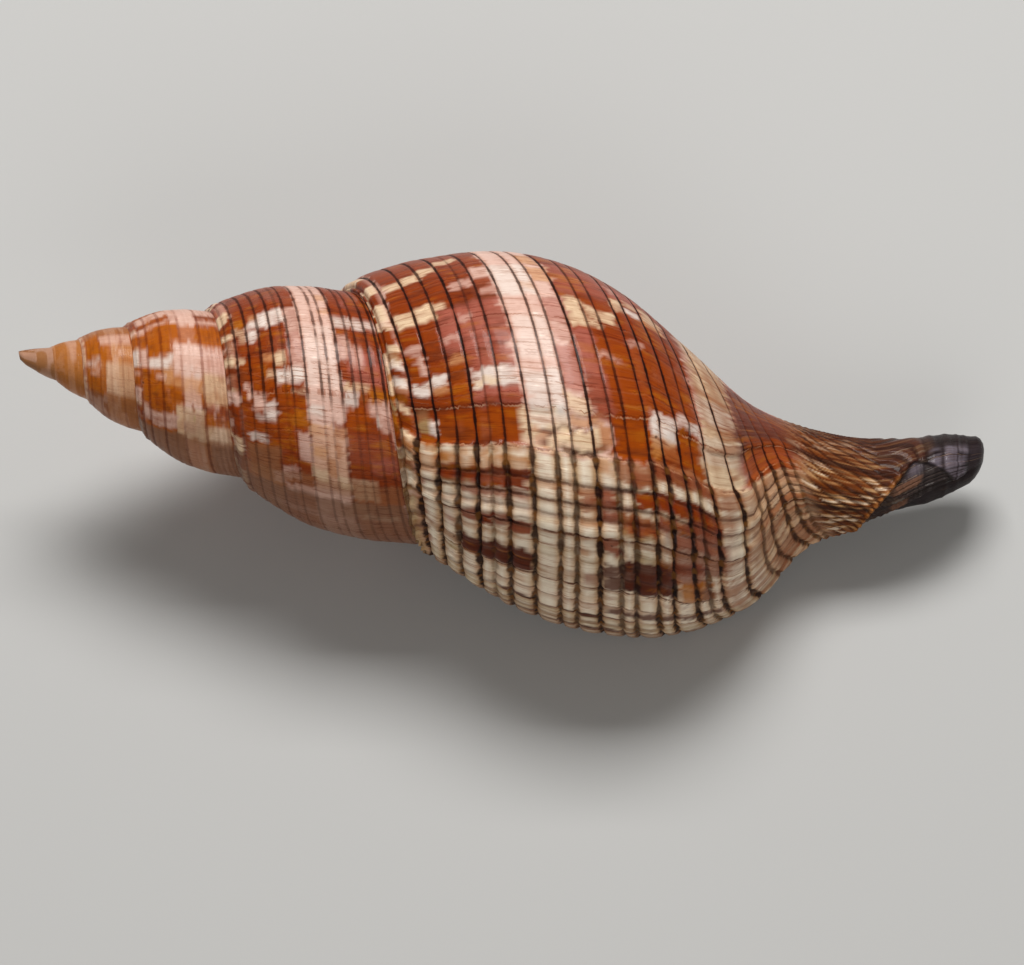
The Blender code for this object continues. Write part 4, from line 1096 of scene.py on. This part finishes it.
    # the canal: cords in short lengths of ochre, cream and rust, and a dark worn end
    canal = ramp(line, 9.1, 9.5)
    cord = np.floor(canal_cord(turn, line) + 0.5)
    length = smooth_noise(cord * 3.7, grow * 210, 28) + 0.8 * smooth_noise(cord * 1.3, grow * 90, 38)
    low = ramp(turn, -0.34, -0.24)
    tone = np.tile(HORN, (len(turn), 1))
    tone = lay(tone, OCHRE, ramp(length, -0.2, 0.4) * (0.35 + 0.65 * low))
    tone = lay(tone, SOOT, 0.9 * ramp(-length, 0.2, 0.7) * (1 - 0.5 * low))
    tone = lay(tone, IVORY, 0.7 * ramp(length, 0.5, 0.9) * (0.3 + 0.7 * low))
    stops = smooth_noise(grow * 38, 7.0, 48) + 0.4 * smooth_noise(grow * 90, line * 0.7, 49)
    tone = lay(tone, BARK, 0.9 * ramp(stops, 0.2, 0.45) * (1 - ramp(stops, 0.75, 1.0)))
    dusky = 0.8 * ramp(line + 2.6 * (-0.27 - turn) + 0.2 * smooth_noise(cord * 2.1, turn * 9, 50), 9.7, 10.6)
    tone = lay(tone, SMOKE, dusky)
    colour = lay(colour, tone, canal)
    lip_end, slot = lip_end_and_slot(turn, line)
    colour = lay(colour, HONEY, 0.8 * lip_end * ramp(turn, -0.14, -0.11))
    dark = ramp(line + 0.35 * smooth_noise(turn * 11, line * 1.1, 29), 10.8, 11.4)
    colour = lay(colour, PLUM, 0.95 * dark)
    rings = bump(line, 0.0, 11.68, 0.0, 0.06, 1.0) + bump(line, 0.0, 12.17, 0.0, 0.05, 1.0)
    rings = rings + ramp(line, 12.7, 12.85)
    cloudy = smooth_noise(turn * 34, line * 2.6, 30) + 0.6 * smooth_noise(turn * 110, line * 1.4, 51)
    worn = ramp(line, 11.25, 11.5) * box(turn, -0.175, 0.0, 0.025)
    worn = worn * (0.75 + 0.6 * cloudy) * (1 - 0.85 * rings)
    colour = lay(colour, SLATE, np.clip(worn, 0.0, 1.0) * (1 - slot))
    # painted shade: the slit beyond the lip's end is coloured near-black
    colour = lay(colour, SLIT_SHADE, 0.9 * slot)
    colour = lay(colour, SLATE, 0.8 * slot * bump(line, turn, 11.0, -0.118, 0.16, 0.025))
    flecks = ramp(smooth_noise(turn * 50, line * 3.0, 39), 0.3, 0.6) * (1 - ramp(line, 11.0, 11.4))
    colour = lay(colour, DUSK, 0.6 * slot * flecks)
    return np.clip(colour, 0.0, 1.0)


def ink(turn, column):
    """How dark the spiral grooves are."""
    line = line_at(turn, column)
    grow = grown(turn, line)
    size = np.interp(turn, (-4.6, -3.4, -2.3, -1.3, -0.8), (0.0, 0.22, 0.5, 0.9, 1.0))
    i = np.floor(column).astype(int)
    near = np.where(column - i < 0.5, i, i + 1)
    strong, old = groove_strength(GROOVE_INK, near), groove_strength(OLD_GROOVE_INK, near)
    strong = strong + (old - strong) * ramp(-turn, 1.5, 1.9)
    strong = strong * (1.0 - 0.8 * ramp(line, 8.25, 8.45) * (1.0 - ramp(grow, -0.335, -0.30)) * (turn > -1))
    strong = strong * (1.0 - 0.62 * ramp(grow, OLD_BREAK - 0.01, OLD_BREAK + 0.02) * (turn < -1.0))
    dashes = smooth_noise(grow * 110, near * 9.1, 31) + 0.5 * smooth_noise(grow * 60, near * 4.3, 32)
    faint = 1 - (0.15 + 0.45 * (turn < -1.0) * box(line, 3.6, 5.0, 0.2)) * ramp(dashes, 0.15, 0.7)
    return strong * size * faint * (1.0 - ramp(line, 9.2, 9.4))


def gap_mm(turn, column):
    """The distance between grooves, less where the grooves are wide."""
    line = line_at(turn, column)
    lines = posts(turn)
    i = np.clip(np.floor(column).astype(int), 0, lines.shape[-1] - 2)
    n = np.arange(len(turn))
    late = ramp(grown(turn, line), BREAK_B - 0.004, BREAK_B + 0.004) * (turn > -1)
    return (lines[n, i + 1] - lines[n, i]) * np.hypot(*slant(turn, line)) / (1.0 + 0.8 * late)


def corner_values(name, kind, values):
    layer = mesh.attributes.new(name, kind, "CORNER")
    field = "color" if kind == "FLOAT_COLOR" else "value"
    layer.data.foreach_set(field, np.ascontiguousarray(values, np.float32).ravel())


corners = np.empty(len(mesh.loops) * 2, np.float32)
mesh.uv_layers["growth"].data.foreach_get("uv", corners)
turn, column = corners.reshape(-1, 2).astype(float).T
column = np.clip(column, 0.0, LAST_COLUMN)
line = line_at(turn, column)
grow = grown(turn, line)
colours = pigment(turn, column)
corner_values("pigment", "FLOAT_COLOR", np.column_stack([colours, np.ones(len(colours))]))
corner_values("ink", "FLOAT", ink(turn, column))
corner_values("gap", "FLOAT", gap_mm(turn, column))
# every pause in growth is a thin dark line, partly painted shadow under the growth step, and each corner
# keeps its distance from the nearest
pauses = [(at, min(rise / 0.3, 1.0) ** 1.5) for at, rise in RIDGES]
pauses += [(BREAK_A, 0.75), (BREAK_B, 0.75), (OLD_BREAK, 0.7)]
at = BREAK_A
while at > -SPIRE_TURNS:
    rows = np.interp(-at, (0.5, 1.0, 1.6, 2.5, 4.0), (0.012, 0.013, 0.018, 0.03, 0.06))
    at -= rows * (0.95 + 0.6 * smooth_noise(at * 231.0, 0.0, 40))
    pauses.append((at, 0.5 + 0.35 * smooth_noise(at * 97.0, 5.0, 41)))
pauses = np.array(sorted(pauses))
nearest = np.clip(np.searchsorted((pauses[1:, 0] + pauses[:-1, 0]) / 2, grow), 0, len(pauses) - 1)
from_pause = grow - pauses[nearest, 0]
spacing = np.interp(
    -turn,
    (0.27, 0.3, 0.56, 0.6, 1.0, 1.3, 1.56, 2.0, 2.5, 4.0),
    (0.0024, 0.0035, 0.0035, 0.01, 0.004, 0.0065, 0.0065, 0.008, 0.013, 0.025),
)
near_pause = pauses[nearest, 1] * (1.0 - ramp(np.abs(from_pause), spacing, 1.6 * spacing)) * (line > 1.15)
corner_values("from_pause", "FLOAT", from_pause * 1000)
corner_values("pause", "FLOAT", near_pause)
broken = np.isin(pauses[nearest, 0], (BREAK_A, BREAK_B, OLD_BREAK))
corner_values("broken", "FLOAT", near_pause * broken)
corner_values("cord", "FLOAT", canal_cord(turn, line))
on_canal = ramp(line, 9.2, 9.6) * (1.0 - 0.65 * ramp(line, 11.0, 11.6))
corner_values("canal", "FLOAT", on_canal * (1.0 - lip_end_and_slot(turn, line)[1]))
corner_values("early", "FLOAT", ramp(-turn, 1.3, 2.4))
corner_values("late", "FLOAT", ramp(grow, BREAK_B - 0.003, BREAK_B + 0.003) * (turn > -1.0))
growth = mesh.uv_layers["growth"]
striae = np.column_stack([grow, column])
growth.data.foreach_set("uv", np.ascontiguousarray(striae, np.float32).ravel())


# ==== the wall's surface =====================================================
# The outside is naturally glossy, with dirt in its grooves and worn growth lines.
# The inside of the mouth is a smooth pale glaze.
class Signal:
    """A shader socket that takes part in sums, so that a mask reads as arithmetic."""

    def __init__(self, tree, socket):
        self.tree = tree
        self.socket = socket

    def node(self, kind, settings=None, **values):
        made = self.tree.nodes.new(kind)
        for key, value in (settings or {}).items():
            setattr(made, key, value)
        for key, value in values.items():
            numbered = key[0] == "i" and key[1:].isdigit()
            socket = made.inputs[int(key[1:]) if numbered else key.replace("_", " ")]
            if isinstance(value, Signal):
                self.tree.links.new(value.socket, socket)
            else:
                socket.default_value = value
        return made

    def wrap(self, made, output=0):
        return Signal(self.tree, made.outputs[output])

    def sum(self, operation, first, second=0.0, clamp=False):
        settings = {"operation": operation, "use_clamp": clamp}
        return self.wrap(self.node("ShaderNodeMath", settings, i0=first, i1=second))

    def __add__(self, other):
        return self.sum("ADD", self, other)

    __radd__ = __add__

    def __sub__(self, other):
        return self.sum("SUBTRACT", self, other)

    def __rsub__(self, other):
        return self.sum("SUBTRACT", other, self)

    def __mul__(self, other):
        return self.sum("MULTIPLY", self, other)

    __rmul__ = __mul__

    def __truediv__(self, other):
        return self.sum("DIVIDE", self, other)

    def __abs__(self):
        return self.sum("ABSOLUTE", self)

    def step(self, low, high):
        """0 below low, 1 above high, smooth between."""
        made = self.node("ShaderNodeMapRange", {"interpolation_type": "SMOOTHSTEP"}, i0=self, i1=low, i2=high)
        return self.wrap(made)

    def over(self, colour, paint, kind="MIX"):
        """This mask's share of a paint over a colour."""
        made = self.node("ShaderNodeMix", {"data_type": "RGBA", "blend_type": kind}, i0=self)
        for socket, value in ((made.inputs[6], colour), (made.inputs[7], paint)):
            if isinstance(value, Signal):
                self.tree.links.new(value.socket, socket)
            else:
                socket.default_value = (*value, 1.0)
        return Signal(self.tree, made.outputs[2])


def stored(kit, name, output="Fac"):
    made = kit.node("ShaderNodeAttribute", {"attribute_name": name})
    return Signal(kit.tree, made.outputs[output])


def grain(kit, vector, scale, detail=2.0, rough=0.5, stretch=(1.0, 1.0, 1.0)):
    """Noise read along the growth map, drawn out by `stretch`."""
    mapped = kit.wrap(kit.node("ShaderNodeMapping", None, Vector=vector, Scale=stretch))
    made = kit.node("ShaderNodeTexNoise", None, Vector=mapped, Scale=scale, Detail=detail, Roughness=rough)
    return kit.wrap(made)


def new_material(name):
    made = bpy.data.materials.new(name)
    made.use_nodes = True
    kit = Signal(made.node_tree, None)
    return made, kit, made.node_tree.nodes["Principled BSDF"]


def outer_shell():
    """The pigmented, naturally glossy outside."""
    made, kit, skin = new_material("outer_shell")
    growth_map = kit.wrap(kit.node("ShaderNodeUVMap", {"uv_map": "growth"}))
    split = kit.node("ShaderNodeSeparateXYZ", None, Vector=growth_map)
    across = Signal(kit.tree, split.outputs[1])
    place = kit.wrap(kit.node("ShaderNodeTexCoord"), 3)
    early, late = stored(kit, "early"), stored(kit, "late")
    colour = stored(kit, "pigment", "Color")
    # fine growth lines, blurred and broken along the grooves
    fine = grain(kit, growth_map, 1.0, 3.0, 0.6, (330.0, 0.42, 1.0))
    finer = grain(kit, growth_map, 1.0, 2.0, 0.6, (1100.0, 0.6, 1.0))
    patchy = grain(kit, growth_map, 1.0, 2.0, 0.5, (30.0, 0.7, 1.0))
    lines = fine.step(0.52, 0.66) * 0.6 + finer.step(0.52, 0.70) * 0.4
    lines = lines * (patchy.step(0.32, 0.60) * 0.8 + 0.2)
    colour = (lines * (1 - early * 0.6)).over(colour, (0.46, 0.24, 0.15), "MULTIPLY")
    pale = grain(kit, growth_map, 1.0, 2.0, 0.6, (260.0, 0.9, 1.0)).step(0.60, 0.76)
    colour = pale.over(colour, (1.28, 1.30, 1.30), "MULTIPLY")
    mottle = grain(kit, place, 900.0, 3.0, 0.6)
    colour = (mottle.step(0.35, 0.75) * 0.16).over(colour, (0.60, 0.40, 0.30), "MULTIPLY")
    # the pauses: a dark line, painted shadow under each growth step and partly the growth line's own colour,
    # with a pale edge behind it as painted highlight
    waver = grain(kit, growth_map, 1.0, 3.0, 0.65, (9.0, 2.6, 1.0)) - 0.5
    pause, broken, canal = stored(kit, "pause"), stored(kit, "broken"), stored(kit, "canal")
    past = (stored(kit, "from_pause") + waver * (5.0 - late * 2.0 + broken * 5.0)) * (1 - canal * 0.6)
    gone = grain(kit, growth_map, 1.0, 2.0, 0.5, (14.0, 1.6, 1.0)).step(0.38, 0.56)
    # painted shadow: the dark line under each growth step
    pause_shadow_line = (1 - abs(past).step(0.25 + late * 0.3, 0.9 + late * 1.2)) * pause
    pause_shadow_line = pause_shadow_line * (gone * (1 - late * 0.55) + late * 0.55)
    # painted highlight: the pale lit edge of each step
    step_highlight = (1 - abs(past - 1.8).step(0.3, 1.2)) * pause
    colour = (step_highlight * (0.06 + broken * gone * 0.6) * (1 - canal)).over(colour, (0.80, 0.52, 0.32))
    colour = (pause_shadow_line * 0.9).over(colour, late.over((0.50, 0.24, 0.13), (0.17, 0.055, 0.02)), "MULTIPLY")
    # spiral grooves hold dark matter, with lengths of ochre stain between
    away = abs(across.sum("FRACT", across + 0.5) - 0.5) * stored(kit, "gap")
    ink_share = stored(kit, "ink")
    blur = grain(kit, place, 1500.0, 2.0, 0.6)
    dash = grain(kit, growth_map, 1.0, 2.0, 0.5, (62.0, 0.9, 1.0)) - 0.5
    groove = 1 - (away + (blur - 0.5) * 0.22 - dash * (0.35 + late * 0.45)).step(0.09, 0.31 + late * 0.05)
    halo = (1 - away.step(0.12, 0.70 + late * 0.1)) * (0.42 + late * 0.2)
    colour = (halo * ink_share).over(colour, late.over((0.55, 0.24, 0.09), (0.66, 0.36, 0.13)), "MULTIPLY")
    dirt = early.over((0.03, 0.008, 0.005), (0.30, 0.10, 0.04))
    colour = (groove * ink_share * 0.97).over(colour, dirt, "MULTIPLY")
    stain = grain(kit, growth_map, 1.0, 1.0, 0.5, (85.0, 1.0, 1.0)).step(0.50, 0.62) * late
    colour = (stain * groove * ink_share * 0.7).over(colour, (0.20, 0.07, 0.010))
    # the canal's cords, with dark gaps
    wave = stored(kit, "cord")
    wave = wave.sum("COSINE", wave * (2 * np.pi))
    gap = (1 - wave.step(-0.85, 0.1)) * canal
    colour = (gap * 0.62).over(colour, (0.14, 0.04, 0.015), "MULTIPLY")
    pits = kit.node("ShaderNodeTexVoronoi", {"feature": "F1"}, Vector=place, Scale=420.0)
    pit = (1 - kit.wrap(pits).step(0.05, 0.13)) * grain(kit, place, 130.0).step(0.60, 0.66)
    colour = (pit * 0.7).over(colour, (0.10, 0.04, 0.02))
    kit.tree.links.new(colour.socket, skin.inputs["Base Color"])
    rough = 0.32 + groove * ink_share * 0.35 + lines * 0.12 + pause_shadow_line * 0.2
    kit.tree.links.new(rough.socket, skin.inputs["Roughness"])
    skin.inputs["Coat Weight"].default_value = 0.10
    skin.inputs["Coat Roughness"].default_value = 0.1
    skin.inputs["Specular IOR Level"].default_value = 0.08
    skin.inputs["Specular Tint"].default_value = (1.0, 0.82, 0.66, 1.0)
    height = fine * 0.5 + finer * 0.25 + mottle * 0.15 - pit * 1.2 - pause_shadow_line * 0.5
    rough_skin = kit.node("ShaderNodeBump", None, Strength=0.55, Distance=0.00018, Height=height)
    kit.tree.links.new(rough_skin.outputs[0], skin.inputs["Normal"])
    return made


def glaze():
    """The smooth pale inside of the mouth, flushed with orange further in."""
    made, kit, skin = new_material("glaze")
    growth_map = kit.wrap(kit.node("ShaderNodeUVMap", {"uv_map": "growth"}))
    place = kit.wrap(kit.node("ShaderNodeTexCoord"), 3)
    streak = grain(kit, growth_map, 1.0, 3.0, 0.55, (60.0, 0.7, 1.0))
    cloud = grain(kit, place, 90.0, 3.0, 0.55)
    colour = cloud.step(0.35, 0.7).over((0.74, 0.52, 0.36), (0.80, 0.63, 0.50))
    colour = (streak.step(0.45, 0.75) * 0.45).over(colour, (0.62, 0.27, 0.12))
    kit.tree.links.new(colour.socket, skin.inputs["Base Color"])
    rough = 0.20 + cloud * 0.12
    kit.tree.links.new(rough.socket, skin.inputs["Roughness"])
    skin.inputs["Coat Weight"].default_value = 0.35
    skin.inputs["Coat Roughness"].default_value = 0.10
    rough_skin = kit.node("ShaderNodeBump", None, Strength=0.4, Distance=0.0002, Height=streak)
    kit.tree.links.new(rough_skin.outputs[0], skin.inputs["Normal"])
    return made


mesh.materials.append(outer_shell())
mesh.materials.append(glaze())
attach(shell, "root")
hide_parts("tulip_shell")

# ==== floor ==================================================================
# The shell lies on its lip, the bulge of its last whorl and its spire, on a
# plain pale surface.
bpy.ops.mesh.primitive_plane_add(size=6.0, location=(0.0, 0.0, -0.0002))
floor = bpy.context.object
floor.name = "floor"
paper, kit, skin = new_material("paper")
skin.inputs["Base Color"].default_value = (0.52, 0.515, 0.50, 1.0)
skin.inputs["Roughness"].default_value = 0.9
skin.inputs["Specular IOR Level"].default_value = 0.1
floor.data.materials.append(paper)

# ==== light ==================================================================
# A soft box above and behind the shell, a weaker wide one low in front, and an
# even pale surround.


def soft_box(name, towards, distance, width, depth, watts):
    lamp = bpy.data.lights.new(name, "AREA")
    lamp.shape = "RECTANGLE"
    lamp.size = width
    lamp.size_y = depth
    lamp.energy = watts
    made = bpy.data.objects.new(name, lamp)
    bpy.context.scene.collection.objects.link(made)
    made.location = Vector(towards).normalized() * distance
    made.rotation_euler = Vector(towards).to_track_quat("Z", "Y").to_euler()


soft_box("key", (-0.05, 0.52, 0.86), 0.9, 0.50, 0.30, 8.3)
soft_box("fill", (0.15, -0.80, 0.55), 1.2, 0.8, 0.6, 2.9)

world = bpy.data.worlds.new("studio")
bpy.context.scene.world = world
world.use_nodes = True
air = Signal(world.node_tree, None)
paths = air.node("ShaderNodeLightPath")
seen = Signal(air.tree, paths.outputs["Is Camera Ray"]) + Signal(air.tree, paths.outputs["Is Glossy Ray"])
seen = seen.sum("ADD", seen, Signal(air.tree, paths.outputs["Is Transmission Ray"]), clamp=True)
dim = air.node("ShaderNodeBackground", None, Color=(0.85, 0.83, 0.80, 1.0), Strength=0.22)
pale = air.node("ShaderNodeBackground", None, Color=(0.78, 0.78, 0.77, 1.0), Strength=0.62)
blend = air.node("ShaderNodeMixShader", None, i0=seen)
air.tree.links.new(dim.outputs[0], blend.inputs[1])
air.tree.links.new(pale.outputs[0], blend.inputs[2])
air.tree.links.new(blend.outputs[0], world.node_tree.nodes["World Output"].inputs[0])
bpy.context.scene.view_settings.view_transform = "Standard"

# ==== camera =================================================================
# Square to the shell's side and a little above its axis, in the shell's own frame.
YAW = np.radians(4.5)
ROLL = np.radians(8.0)
AIM = (78.23, -5.84, -8.65)
CAMERA_MM = 899.0
back = Vector((-np.sin(YAW), -np.cos(YAW), 0.0))
right = Vector((np.cos(ROLL) * np.cos(YAW), -np.cos(ROLL) * np.sin(YAW), np.sin(ROLL)))
up = back.cross(right)
aim = Vector((np.cos(YAW), -np.sin(YAW), 0.0)) * AIM[0] + back * AIM[1] + Vector((0, 0, 1)) * AIM[2]
pose = Matrix.Identity(4)
for i, axis in enumerate((right, up, back)):
    pose.col[i][:3] = axis
pose.translation = (aim + back * CAMERA_MM) * MM
eye = bpy.data.cameras.new("camera")
eye.sensor_width = 36.0
eye.lens = 203.9
eye.clip_start = 0.01
camera = bpy.data.objects.new("camera", eye)
bpy.context.scene.collection.objects.link(camera)
camera.matrix_world = Matrix.Translation(SHELL_SHIFT) @ rest @ pose
bpy.context.scene.camera = camera
